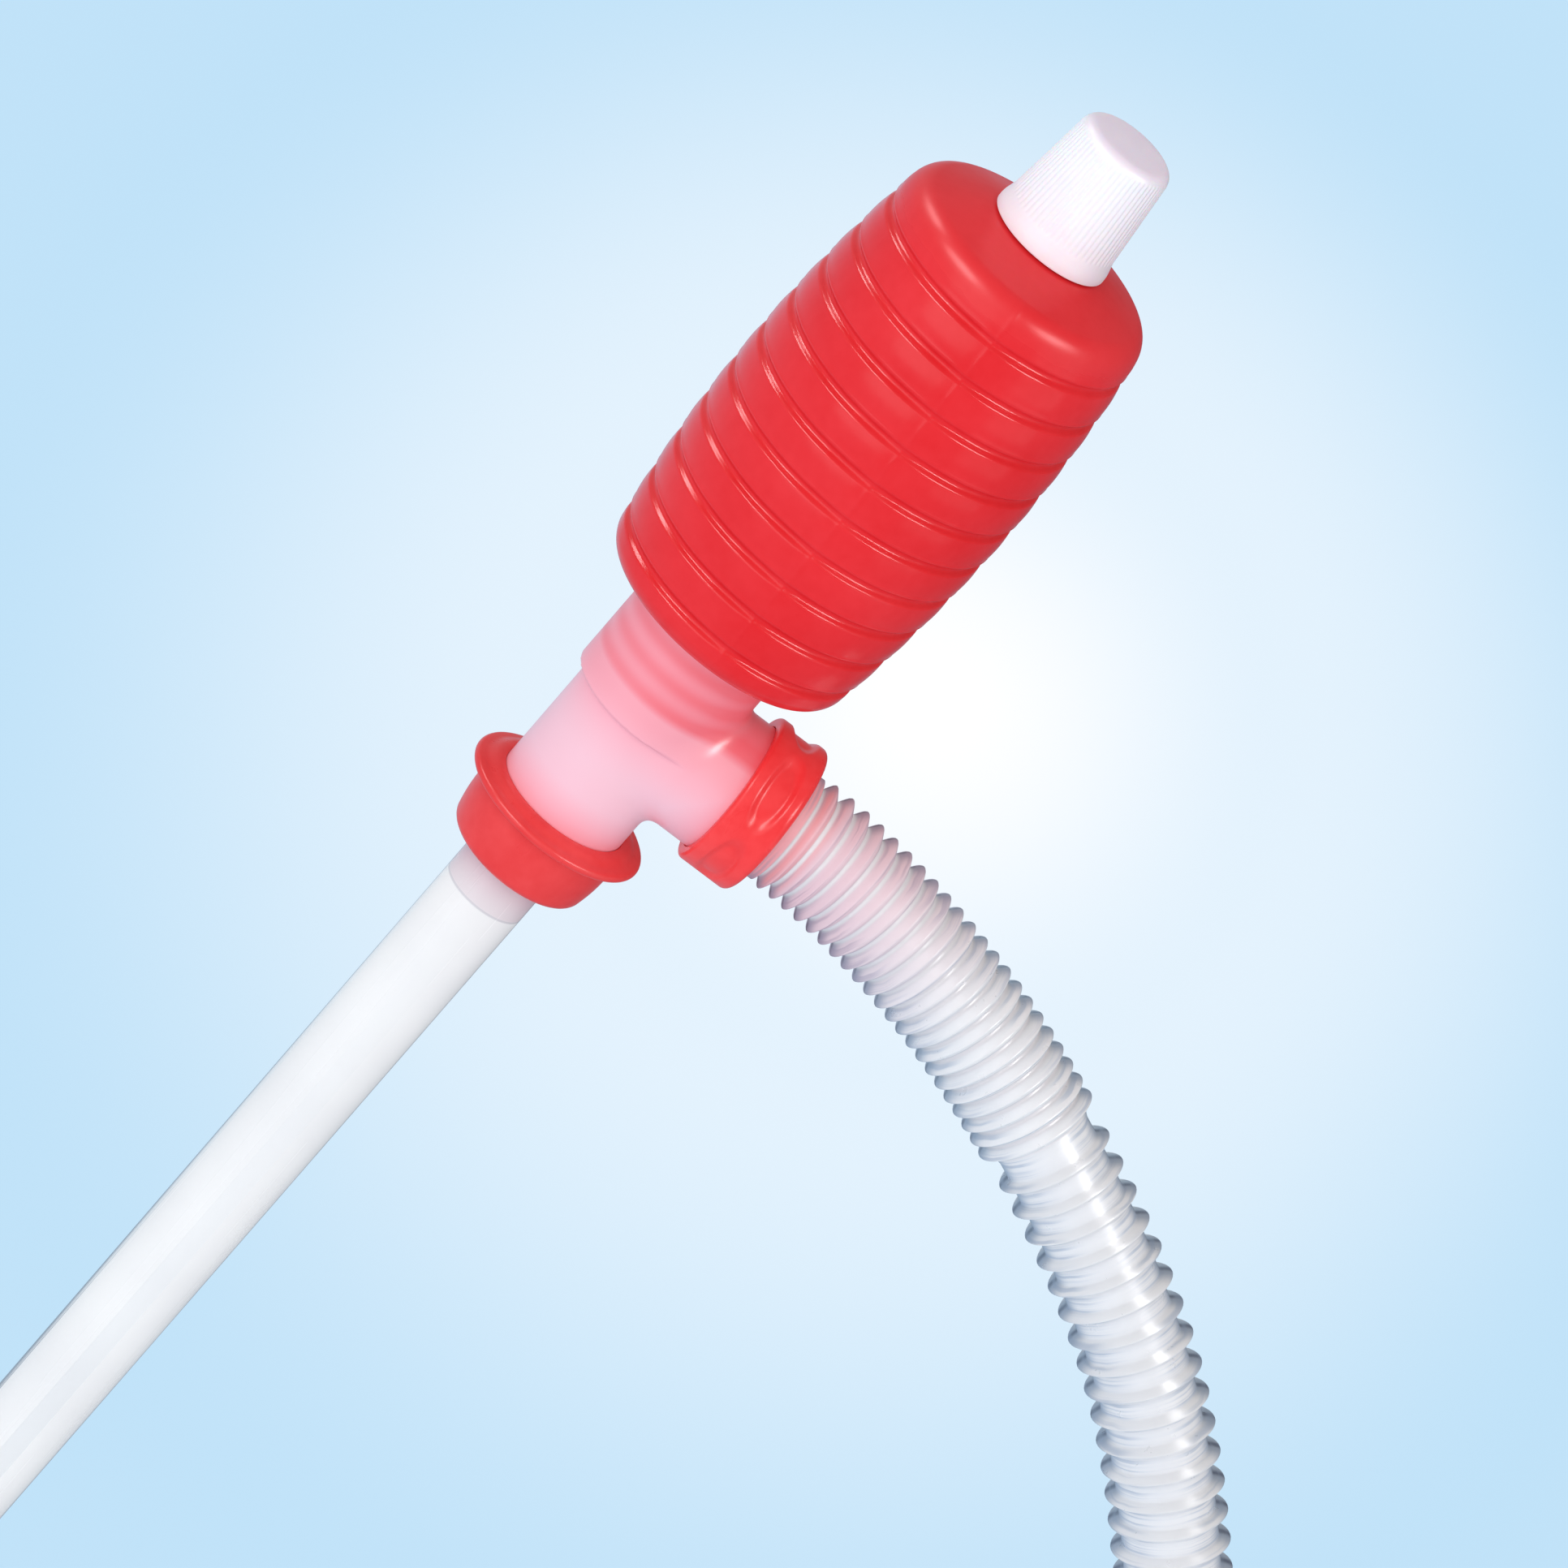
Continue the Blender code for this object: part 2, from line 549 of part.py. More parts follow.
def make_outlet_valve():
    lip = OUTLET_PORT_RADIUS + OUTLET_LIP_WIDTH
    ring = [
        (lip, OUTLET_SEAT_FACE + OUTLET_LIP_HEIGHT),
        (lip, OUTLET_SEAT_FACE),
        (BRANCH_BORE - SEAT_GAP, OUTLET_SEAT_FACE),
        (BRANCH_BORE - SEAT_GAP, OUTLET_SEAT_REACH),
        (OUTLET_PORT_RADIUS, OUTLET_SEAT_REACH),
        (OUTLET_PORT_RADIUS, OUTLET_SEAT_FACE + OUTLET_LIP_HEIGHT),
    ]
    branch_axis = (0.0, 0.0, BRANCH_HEIGHT)
    hinge = Vector((FLAP_MIDDLE, 0.0, BRANCH_HEIGHT + HINGE_OFFSET))
    across = (math.pi / 2, 0.0, 0.0)
    arm = HINGE_ARM_WIDTH / 2
    lug_inner = arm + RUN_GAP
    lug_outer = lug_inner + LUG_THICKNESS
    seat = turned("outlet_valve_seat", ring, VALVE_STEPS, location=branch_axis, rotation=ALONG_X)
    for name, side in (("left", -1), ("right", 1)):
        sides = sorted((side * lug_inner, side * lug_outer))
        middle = hinge + Vector((0.0, side * (lug_inner + LUG_THICKNESS / 2), 0.0))
        foot = (OUTLET_SEAT_REACH + OUTLET_SEAT_THICKNESS / 2, sides[0], hinge.z - LUG_RADIUS)
        head = (hinge.x, sides[1], hinge.z + LUG_RADIUS)
        join(seat, block(f"{name}_lug_foot", foot, head))
        join(seat, round_bar(f"{name}_lug_eye", LUG_RADIUS, LUG_THICKNESS, SMALL_STEPS, middle, across))
    bar_hole = HINGE_BAR_RADIUS + SEAT_GAP
    hole_length = 2 * (lug_outer + CUT_OVER)
    cut(seat, round_bar("hinge_hole", bar_hole, hole_length, SMALL_STEPS, hinge, across))
    finish(seat, NATURAL)

    flap = round_bar("outlet_valve_flap", HINGE_BAR_RADIUS, 2 * lug_outer, SMALL_STEPS, hinge, across)
    disc_at = (FLAP_MIDDLE, 0.0, BRANCH_HEIGHT)
    half = FLAP_THICKNESS / 2
    arm_low = (FLAP_MIDDLE - half, -arm, BRANCH_HEIGHT + OUTLET_PORT_RADIUS)
    arm_high = (FLAP_MIDDLE + half, arm, hinge.z)
    join(flap, round_bar("flap_disc", FLAP_RADIUS, FLAP_THICKNESS, VALVE_STEPS, disc_at, ALONG_X))
    join(flap, block("flap_arm", arm_low, arm_high))
    finish(flap, RUBBER)


def grip_cutters():
    """Ovals wrapped round the nut, whose inner halves hollow out a grip each."""
    shape = bmesh.new()
    bmesh.ops.create_uvsphere(shape, u_segments=8, v_segments=12, radius=1.0)
    oval = [vertex.co.copy() for vertex in shape.verts]
    faces = [[vertex.index for vertex in face.verts] for face in shape.faces]
    shape.free()
    points = []
    for i in range(GRIP_COUNT):
        for across, out, along in oval:
            turn = GRIP_START + 2 * math.pi * i / GRIP_COUNT + along * GRIP_LENGTH / 2 / NUT_RADIUS
            reach = NUT_RADIUS + out * GRIP_DEPTH
            height = (NUT_LENGTH + across * GRIP_WIDTH) / 2
            points.append((reach * math.cos(turn), reach * math.sin(turn), height))
    mesh = bpy.data.meshes.new("nut_grips")
    polygons = [[index + i * len(oval) for index in face] for i in range(GRIP_COUNT) for face in faces]
    mesh.from_pydata(points, [], polygons)
    return solid("nut_grips", mesh, (NUT_START, 0.0, BRANCH_HEIGHT), ALONG_X)


def make_hose_nut():
    lip_face = NUT_LIP_FACE - NUT_START
    profile = [(NUT_RADIUS - NUT_EDGE, NUT_LENGTH)]
    profile += arc(NUT_RADIUS - NUT_EDGE, NUT_LENGTH - NUT_EDGE, NUT_EDGE, 60, 0, 2)
    profile += [
        (NUT_RADIUS, NUT_EDGE / 2),
        (NUT_RADIUS - NUT_EDGE / 2, 0.0),
        (NUT_BORE, 0.0),
        (NUT_BORE, lip_face),
        (HOSE_NECK_RADIUS + RUN_GAP, lip_face),
        (HOSE_NECK_RADIUS + RUN_GAP, NUT_LENGTH),
    ]
    nut = turned(
        "hose_nut", profile, NUT_STEPS, location=(NUT_START, 0.0, BRANCH_HEIGHT), rotation=ALONG_X
    )
    cut(nut, grip_cutters())
    finish(nut, RED)


def hose_route():
    """The hose's own points: straight out of its end face, then the hand-chosen bend."""
    face = Vector((HOSE_FACE, 0.0, BRANCH_HEIGHT))
    points = [face, face + Vector((HOSE_STRAIGHT, 0.0, 0.0))]
    points += [face + Vector((along * MM, 0.0, up * MM)) for along, up in HOSE_BEND]
    return points


def smooth_line(points):
    """Close points on the smooth curve through a route."""
    ends = [2 * points[0] - points[1]] + points + [2 * points[-1] - points[-2]]
    line = []
    for before, start, end, after in zip(ends, ends[1:], ends[2:], ends[3:]):
        for i in range(HOSE_SAMPLES):
            t = i / HOSE_SAMPLES
            line.append(
                0.5 * (2 * start + (end - before) * t + (2 * before - 5 * start + 4 * end - after) * t * t
                       + (3 * start - before - 3 * end + after) * t * t * t)
            )
    line.append(points[-1])
    return line


class Route:
    """A line that is read by the length along it."""

    def __init__(self, line):
        self.line = line
        self.lengths = [0.0]
        for start, end in zip(line, line[1:]):
            self.lengths.append(self.lengths[-1] + (end - start).length)
        self.length = self.lengths[-1]

    def at(self, length):
        for i in range(1, len(self.line)):
            if self.lengths[i] >= length or i == len(self.line) - 1:
                span = self.lengths[i] - self.lengths[i - 1]
                share = (length - self.lengths[i - 1]) / span
                return self.line[i - 1].lerp(self.line[i], share)


def tube(name, places, radii):
    """A tube whose radius changes from point to point, as a closed mesh."""
    curve = bpy.data.curves.new(name, "CURVE")
    curve.dimensions = "3D"
    curve.bevel_depth = 1.0
    curve.bevel_resolution = 2
    curve.use_fill_caps = True
    spline = curve.splines.new("POLY")
    spline.points.add(len(places) - 1)
    for point, place, radius in zip(spline.points, places, radii):
        point.co = (*place, 1.0)
        point.radius = radius
    guide = bpy.data.objects.new(name + "_curve", curve)
    PARTS.objects.link(guide)
    bpy.context.view_layer.update()
    mesh = bpy.data.meshes.new_from_object(guide.evaluated_get(bpy.context.evaluated_depsgraph_get()))
    bpy.data.objects.remove(guide, do_unlink=True)
    shape = bmesh.new()
    shape.from_mesh(mesh)
    bmesh.ops.remove_doubles(shape, verts=shape.verts, dist=0.000001)
    shape.to_mesh(mesh)
    shape.free()
    return solid(name, mesh)


def hose_profile(length):
    """Pairs of length along the hose and radius: flange, neck, fine ribs, plain gap, coarse ribs, end cuff."""
    neck = HOSE_FLANGE + FLANGE_STEP
    rows = [(0.0, HOSE_FLANGE_RADIUS), (HOSE_FLANGE, HOSE_FLANGE_RADIUS), (neck, HOSE_NECK_RADIUS)]
    band = NUT_END + HOSE_LEAD - HOSE_FACE
    start = band + NECK_STEP
    rows += [(band, HOSE_NECK_RADIUS), (start, HOSE_VALLEY_RADIUS)]
    for i in range(FINE_RIB_COUNT):
        rows.append((start + (i + 0.5) * FINE_RIB_PITCH, FINE_RIB_RADIUS))
        rows.append((start + (i + 1) * FINE_RIB_PITCH, HOSE_VALLEY_RADIUS))
    start += FINE_RIB_COUNT * FINE_RIB_PITCH + PLAIN_GAP
    rows.append((start, COARSE_VALLEY_RADIUS))
    cuff = length - CUFF_LENGTH
    count = int((cuff - start) / COARSE_RIB_PITCH)
    for i in range(count):
        rows.append((start + (i + 0.5) * COARSE_RIB_PITCH, HOSE_RADIUS))
        rows.append((start + (i + 1) * COARSE_RIB_PITCH, COARSE_VALLEY_RADIUS))
    rows += [(cuff + FLANGE_STEP, CUFF_RADIUS), (length, CUFF_RADIUS)]
    return rows


def make_outlet_hose():
    route = Route(smooth_line(hose_route()))
    rows = hose_profile(route.length)
    hose = tube("outlet_hose", [route.at(along) for along, _ in rows], [radius for _, radius in rows])
    count = round(route.length / BORE_STEP)
    places = [route.at(route.length * i / count) for i in range(count + 1)]
    places[0] = places[0] + (places[0] - places[1]).normalized() * CUT_OVER
    places[-1] = places[-1] + (places[-1] - places[-2]).normalized() * CUT_OVER
    cut(hose, tube("hose_bore", places, [HOSE_BORE_RADIUS] * len(places)))
    finish(hose, CLEAR)


make_squeeze_bulb()
make_vent_cap()
make_tee_body()
make_tank_collar()
make_intake_pipe()
make_intake_valve()
make_outlet_valve()
make_hose_nut()
make_outlet_hose()
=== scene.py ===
import math

import bpy
import numpy as np
from mathutils import Matrix, Vector


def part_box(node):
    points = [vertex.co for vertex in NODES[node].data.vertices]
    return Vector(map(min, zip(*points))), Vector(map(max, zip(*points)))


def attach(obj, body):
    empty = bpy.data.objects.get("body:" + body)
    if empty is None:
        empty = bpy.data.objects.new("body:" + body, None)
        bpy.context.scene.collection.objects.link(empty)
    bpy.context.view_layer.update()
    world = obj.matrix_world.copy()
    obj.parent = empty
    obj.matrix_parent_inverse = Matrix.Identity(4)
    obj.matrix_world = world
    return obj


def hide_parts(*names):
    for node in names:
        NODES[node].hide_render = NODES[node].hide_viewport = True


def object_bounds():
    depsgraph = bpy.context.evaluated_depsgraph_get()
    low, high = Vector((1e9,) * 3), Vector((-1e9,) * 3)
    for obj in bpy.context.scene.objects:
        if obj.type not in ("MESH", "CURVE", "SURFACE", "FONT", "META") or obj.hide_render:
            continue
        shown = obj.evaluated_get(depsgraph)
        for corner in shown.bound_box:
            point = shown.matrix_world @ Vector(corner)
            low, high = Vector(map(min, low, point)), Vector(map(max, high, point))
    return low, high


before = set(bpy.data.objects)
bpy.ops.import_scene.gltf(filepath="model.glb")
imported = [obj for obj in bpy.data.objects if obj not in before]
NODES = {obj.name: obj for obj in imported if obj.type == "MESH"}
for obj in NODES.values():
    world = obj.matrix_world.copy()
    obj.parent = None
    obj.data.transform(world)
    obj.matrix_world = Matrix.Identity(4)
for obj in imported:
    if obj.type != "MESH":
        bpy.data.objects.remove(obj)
cad_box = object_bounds()
MM = 0.001

# Sizes in millimetres: the solids' own, or the finer form that shows where those are plainer

# Gaps between pieces
RUN_GAP = 0.4
SEAT_GAP = 0.3
CLOSE_FIT = 0.04
NUT_CLOSE_FIT = 0.12

# Tank collar
FLANGE_RADIUS = 20.0
FLANGE_EDGE = 1.9
FLANGE_CROWN = 1.4
PLUG_TOP_RADIUS = 16.1
PLUG_FOOT_RADIUS = 14.9
PLUG_LENGTH = 13.0
PLUG_BULGE = 0.55

# Tee
TUBE_RADIUS = 14.1
TUBE_FOOT_Z = -5.0
SOCKET_RADIUS = 16.2
SOCKET_STEP_Z = 29.0
SOCKET_STEP_CHAMFER = 0.8
SOCKET_TOP_Z = 53.1
BRANCH_Z = 26.4
BRANCH_RADIUS = 14.3
BRANCH_REACH = 29.5

# Intake pipe, and the foot of the valve's spigot inside it
PIPE_RADIUS = 8.95
PIPE_BORE = 7.75
FOOT_SLOT_WIDTH = 4.0
FOOT_SLOT_HEIGHT = 7.0
SPIGOT_FOOT_Z = -22.5

# Squeeze bulb
BULB_RADIUS = 31.0
BULB_HEIGHT = 99.6
BULB_WALL = 2.2
BARREL_DROP = 4.0
TOP_CORNER = 5.0
BOTTOM_CORNER = 4.5
SHOULDER_RISE = 3.4
SHOULDER_SLOPE = 80
RING_COUNT = 10
RING_PITCH = 9.2
FIRST_RING = 7.2
RING_WIDTH = 2.6
RING_DEPTH = 0.8
RING_LIP = 0.11
BAND_BULGE = 0.46
NECK_RADIUS = 13.4
NECK_WALL = 2.4
NECK_RIB_COUNT = 3
NECK_RIB_PITCH = 5.2
NECK_RIB_HEIGHT = 0.9
SPOUT_RADIUS = 8.6
SPOUT_WALL = 1.8
BEAD_RADIUS = 10.6
BEAD_HEIGHT = 2.2

# Vent cap
CAP_FOOT_RADIUS = 12.85
CAP_WAIST_RADIUS = 12.1
CAP_TOP_RADIUS = 10.3
CAP_BORE = SPOUT_RADIUS + RUN_GAP
CAP_FOOT_DROP = 0.4
CAP_BAND = 4.0
CAP_EDGE = 2.6
CAP_DOME = 0.4
CAP_RIB_COUNT = 60
CAP_RIB_DEPTH = 0.17

# Hose nut
NUT_RADIUS = 16.8
NUT_BORE = 14.7
NUT_LIP = 2.6
NUT_EDGE = 1.6
GRIP_COUNT = 5
GRIP_START = math.radians(-2.7)
GRIP_LENGTH = 18.5
GRIP_WIDTH = 6.2
GRIP_DEPTH = 1.0

# Outlet hose
HOSE_FACE = 29.8
HOSE_RADIUS = 12.0
HOSE_VALLEY_RADIUS = 10.2
HOSE_WALL = 0.9
HOSE_NECK_RADIUS = 12.0
HOSE_FLANGE_RADIUS = 14.0
HOSE_FLANGE = 1.9
HOSE_EDGE = 0.3
FINE_RIB_RADIUS = 12.6
FINE_RIB_PITCH = 3.62
FINE_RIB_COUNT = 22
FINE_RIB_START = 7.9
FINE_RIB_END = FINE_RIB_START + FINE_RIB_COUNT * FINE_RIB_PITCH
NECK_STEP = 0.7
COARSE_RIB_PITCH = 6.2
COARSE_VALLEY_RADIUS = 9.7
PLAIN_GAP = 3.5
CUFF_RADIUS = 11.2
CUFF_LENGTH = 24.0

# The hose's route: millimetres along +X and +Z from its end face, straight at first
HOSE_ROUTE = [
    (0.0, 0.0), (12.0, 0.0), (23.9, -1.1), (35.7, -3.1), (48.3, -6.0), (60.6, -9.6),
    (72.8, -14.0), (84.7, -19.0), (96.4, -24.7), (107.8, -30.8), (118.9, -37.5), (129.7, -44.8),
    (139.8, -52.9), (149.4, -61.7), (158.5, -71.0), (167.1, -80.7), (175.0, -90.9),
    (182.3, -101.7), (188.5, -113.1), (193.6, -125.1), (197.6, -137.4), (200.4, -150.1),
    (202.3, -163.0), (203.3, -175.9), (203.6, -188.9), (203.6, -201.9), (203.6, -224.0),
    (203.6, -256.0), (203.6, -288.0), (203.6, -320.0), (203.6, -350.0), (203.6, -380.54),
]


def box(node):
    """Lowest and highest corner of a node, in millimetres."""
    low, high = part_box(node)
    return np.array(low) / MM, np.array(high) / MM


# Heights and reaches that follow from the frame
BULB_FOOT_Z = SOCKET_TOP_Z + SEAT_GAP
BULB_EDGE_Z = BULB_FOOT_Z + BULB_HEIGHT
BULB_TOP_Z = BULB_EDGE_Z + SHOULDER_RISE
NECK_FOOT_Z, SPOUT_TOP_Z = (corner[2] for corner in box("squeeze_bulb"))
CAP_FOOT_Z, CAP_TOP_Z = (corner[2] for corner in box("vent_cap"))
LINER_TOP_Z = box("vent_cap_liner")[1][2]
PIPE_FOOT_Z, PIPE_TOP_Z = (corner[2] for corner in box("intake_pipe"))
NUT_START, NUT_END = (corner[0] for corner in box("hose_nut"))
FLOOR_Z = cad_box[0].z


# Shapes

def smoothstep(low, high, value):
    share = np.clip((value - low) / (high - low), 0.0, 1.0)
    return share * share * (3 - 2 * share)


def bell(value, width):
    return np.exp(-(value / width) ** 2)


def rounded(points, sizes, steps=6):
    """An outline with its corners turned into arcs that start sizes[i] away from corner i."""
    points = [np.array(p, float) for p in points]
    outline = []
    for i, (corner, size) in enumerate(zip(points, sizes)):
        if not size:
            outline.append(corner)
            continue
        before = points[i - 1] - corner
        after = points[(i + 1) % len(points)] - corner
        before /= np.linalg.norm(before)
        after /= np.linalg.norm(after)
        weight = math.sqrt(max(0.0, (1 - before @ after) / 2))
        for t in np.linspace(0, 1, steps + 1):
            shares = np.array([(1 - t) ** 2, 2 * t * (1 - t) * weight, t * t])
            spots = (corner + before * size, corner, corner + after * size)
            outline.append(sum(s * p for s, p in zip(shares, spots)) / shares.sum())
    return outline


def arc(centre_radius, centre_height, size, start, end, count):
    """Points round a corner between two angles in degrees, counted from straight outwards."""
    angles = np.radians(np.linspace(start, end, count + 1))
    return [
        (centre_radius + size * math.cos(a), centre_height + size * math.sin(a)) for a in angles]


def add_object(name, data):
    obj = bpy.data.objects.new(name, data)
    bpy.context.scene.collection.objects.link(obj)
    return obj


def shade(mesh, sharp):
    """Smooth shading with a crease at edges sharper than an angle in degrees."""
    mesh.shade_smooth()
    mesh.set_sharp_from_angle(angle=math.radians(sharp))


def make_object(name, points, faces, sharp):
    mesh = bpy.data.meshes.new(name)
    mesh.from_pydata([tuple(p) for p in np.asarray(points) * MM], [], faces)
    mesh.update()
    shade(mesh, sharp)
    return add_object(name, mesh)


def grid_faces(rows, columns, closed):
    """Quads of a grid that closes round its columns, and round its rows where closed."""
    faces = []
    for i in range(rows if closed else rows - 1):
        low, high = i * columns, (i + 1) % rows * columns
        for j in range(columns):
            k = (j + 1) % columns
            faces.append((low + j, low + k, high + k, high + j))
    return faces


def close_on_axis(points, faces, count):
    """Draw the first and the last row of count points together into one point each."""
    last = len(points) - count
    index = np.arange(len(points))
    index[:count] = 0
    index[last:] = last
    merged = []
    for face in faces:
        corners = list(dict.fromkeys(int(index[v]) for v in face))
        if len(corners) > 2:
            merged.append(corners)
    used = sorted({v for face in merged for v in face})
    renumber = {v: i for i, v in enumerate(used)}
    return points[used], [[renumber[v] for v in face] for face in merged]


def revolve(
    name, outline, columns, warp=None, along_x=False, centre=(0, 0, 0), angles=(), sharp=40
):
    """A turned piece from an outline of radius and height, closed where it ends on the axis."""
    outline = np.array(outline, float)
    radius, height = outline[:, 0], outline[:, 1]
    if (radius * np.roll(height, -1) - np.roll(radius, -1) * height).sum() < 0:
        radius, height = radius[::-1], height[::-1]
    even = np.arange(columns) * 2 * math.pi / columns
    turns = np.unique(np.round(np.concatenate([even, np.array(angles, float)]), 6))
    r, h = (np.repeat(v[:, None], len(turns), axis=1) for v in (radius, height))
    t = np.repeat(turns[None, :], len(radius), axis=0)
    if warp:
        r = warp(r, h, t)
    across, over = r * np.cos(t), r * np.sin(t)
    places = (h, across, over) if along_x else (across, over, h)
    points = np.stack(places, axis=-1).reshape(-1, 3) + np.array(centre, float)
    on_axis = max(radius[0], radius[-1]) < 1e-6
    faces = grid_faces(len(radius), len(turns), not on_axis)
    if on_axis:
        points, faces = close_on_axis(points, faces, len(turns))
    return make_object(name, points, faces, sharp)


def settle(obj):
    """Keep a piece's mesh as its modifiers leave it."""
    bpy.context.view_layer.update()
    evaluated = obj.evaluated_get(bpy.context.evaluated_depsgraph_get())
    mesh = bpy.data.meshes.new_from_object(evaluated)
    obj.modifiers.clear()
    obj.data = mesh


def read_vertices(mesh, key):
    flat = np.empty(len(mesh.vertices) * 3, np.float64)
    mesh.vertices.foreach_get(key, flat)
    return flat.reshape(-1, 3)


def dress(obj, body, slot, material, *stands_for):
    """Finish a piece: its material, the body it rides on and the nodes it stands for. The slot is
    not used.
    """
    obj.data.materials.clear()
    obj.data.materials.append(material)
    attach(obj, body)
    if stands_for:
        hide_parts(*stands_for)


# Materials

def srgb(red, green, blue):
    """A colour as a screen gives it, 0 to 255, in the linear values that Blender takes."""
    def linear(value):
        value /= 255
        return value / 12.92 if value <= 0.04045 else ((value + 0.055) / 1.055) ** 2.4
    return (linear(red), linear(green), linear(blue), 1.0)


class Nodes:
    """Short ways to add shader nodes to a tree and join them."""

    def __init__(self, tree):
        self.tree = tree

    def add(self, kind, inputs=None, **settings):
        node = self.tree.nodes.new(kind)
        for key, value in settings.items():
            setattr(node, key, value)
        for key, value in (inputs or {}).items():
            self.give(value, node.inputs[key])
        return node

    def join(self, source, target):
        self.tree.links.new(source, target)

    def give(self, value, socket):
        """Set a socket to a number or a colour, or join an output to it."""
        if isinstance(value, bpy.types.NodeSocket):
            self.join(value, socket)
        else:
            socket.default_value = value

    def math(self, operation, *values):
        node = self.add("ShaderNodeMath", operation=operation)
        for value, socket in zip(values, node.inputs):
            self.give(value, socket)
        return node.outputs["Value"]

    def change(self, value, low, high, start=0.0, end=1.0, kind="LINEAR"):
        """From start to end as value goes from low to high."""
        ends = {"Value": value, "From Min": low, "From Max": high, "To Min": start, "To Max": end}
        return self.add("ShaderNodeMapRange", ends, interpolation_type=kind).outputs["Result"]

    def ramp(self, value, stops, kind="LINEAR"):
        node = self.add("ShaderNodeValToRGB", {"Fac": value})
        node.color_ramp.interpolation = kind
        elements = node.color_ramp.elements
        while len(elements) < len(stops):
            elements.new(0.5)
        for element, (position, colour) in zip(elements, stops):
            element.position = position
            element.color = colour if hasattr(colour, "__len__") else (colour, colour, colour, 1.0)
        return node.outputs["Color"]

    def mix(self, share, first, second):
        node = self.add("ShaderNodeMix", {"Factor": share, 6: first, 7: second}, data_type="RGBA")
        return node.outputs[2]

    def split(self, vector, axis):
        return self.add("ShaderNodeSeparateXYZ", {"Vector": vector}).outputs[axis]


class Finish(Nodes):
    """A procedural material that is built up node by node."""

    def __init__(self, name):
        self.material = bpy.data.materials.new(name)
        self.material.use_nodes = True
        super().__init__(self.material.node_tree)
        self.shader = self.tree.nodes["Principled BSDF"]
        self.place = self.add("ShaderNodeTexCoord").outputs["Object"]
        self.bumped = None

    def set(self, **values):
        for key, value in values.items():
            name = key.replace("_", " ").title().replace("Ior", "IOR")
            self.shader.inputs[name].default_value = value

    def noise(self, scale, detail=3.0, stretch=(1, 1, 1)):
        mapping = self.add("ShaderNodeMapping", {"Scale": stretch, "Vector": self.place})
        inputs = {"Scale": scale, "Detail": detail, "Vector": mapping.outputs["Vector"]}
        return self.add("ShaderNodeTexNoise", inputs).outputs["Fac"]

    def tones(self, noise, first, second, spread):
        """From first to second as a noise goes from spread below its middle to spread above it."""
        return self.ramp(noise, [(0.5 - spread, first), (0.5 + spread, second)])

    def fade(self, value, low, high, start=0.0, end=1.0):
        """A smooth change from start to end as value goes from low to high."""
        return self.change(value, low, high, start, end, "SMOOTHSTEP")

    def fade_along(self, axis, low, high, start=0.0, end=1.0):
        """A smooth change along an axis between two places in millimetres."""
        return self.fade(self.split(self.place, axis), low * MM, high * MM, start, end)

    def facing(self):
        """0 where a surface faces the eye and 1 where it is seen edge on."""
        return self.add("ShaderNodeLayerWeight", {"Blend": 0.5}).outputs["Facing"]

    def bump(self, height, strength, distance):
        """Small relief on top of any set before it, its distance in millimetres."""
        inputs = {"Strength": strength, "Distance": distance * MM, "Height": height}
        if self.bumped is not None:
            inputs["Normal"] = self.bumped
        self.bumped = self.add("ShaderNodeBump", inputs).outputs["Normal"]
        self.join(self.bumped, self.shader.inputs["Normal"])

    def colour(self, output):
        self.join(output, self.shader.inputs["Base Color"])

    def roughness(self, noise, low, high, extra=None):
        rough = self.tones(noise, low, high, spread=0.2)
        if extra is not None:
            rough = self.math("ADD", rough, extra)
        self.join(rough, self.shader.inputs["Roughness"])


RED_CLOUD, RED_SPECK = 0.8, 0.2
SHOULDER_MATT, SHOULDER_MATT_BELOW = 0.14, (8, 4)


def red_plastic(name, dark, light, low, high, peel):
    """Soft polyethylene: cloudy colour, scuffs, a fine orange peel and a duller shoulder."""
    finish = Finish(name)
    cloud = finish.math("MULTIPLY", finish.noise(38, detail=4), RED_CLOUD)
    speck = finish.math("MULTIPLY", finish.noise(420, detail=2), RED_SPECK)
    finish.colour(finish.tones(finish.math("ADD", cloud, speck), dark, light, spread=0.16))
    low_z, high_z = (BULB_EDGE_Z - below for below in SHOULDER_MATT_BELOW)
    matt = finish.fade_along("Z", low_z, high_z, end=SHOULDER_MATT)
    finish.roughness(finish.noise(160, detail=5, stretch=(1, 1, 0.35)), low, high, extra=matt)
    finish.bump(finish.noise(700, detail=2), strength=peel, distance=0.12)
    finish.bump(finish.noise(90), strength=peel, distance=0.35)
    finish.set(specular_ior_level=0.22)
    return finish.material


BULB_RED = red_plastic("bulb_red", srgb(224, 34, 40), srgb(232, 48, 54), 0.17, 0.24, peel=0.08)
COLLAR_RED = red_plastic("collar_red", srgb(226, 48, 50), srgb(238, 72, 73), 0.26, 0.36, peel=0.12)
# The nut's red is the collar's fitting red painted lighter, standing in for light on the nut.
NUT_RED_PAINTED_LIT = red_plastic("nut_red_painted_lit", srgb(240, 50, 53), srgb(252, 77, 78), 0.26, 0.36, peel=0.12)


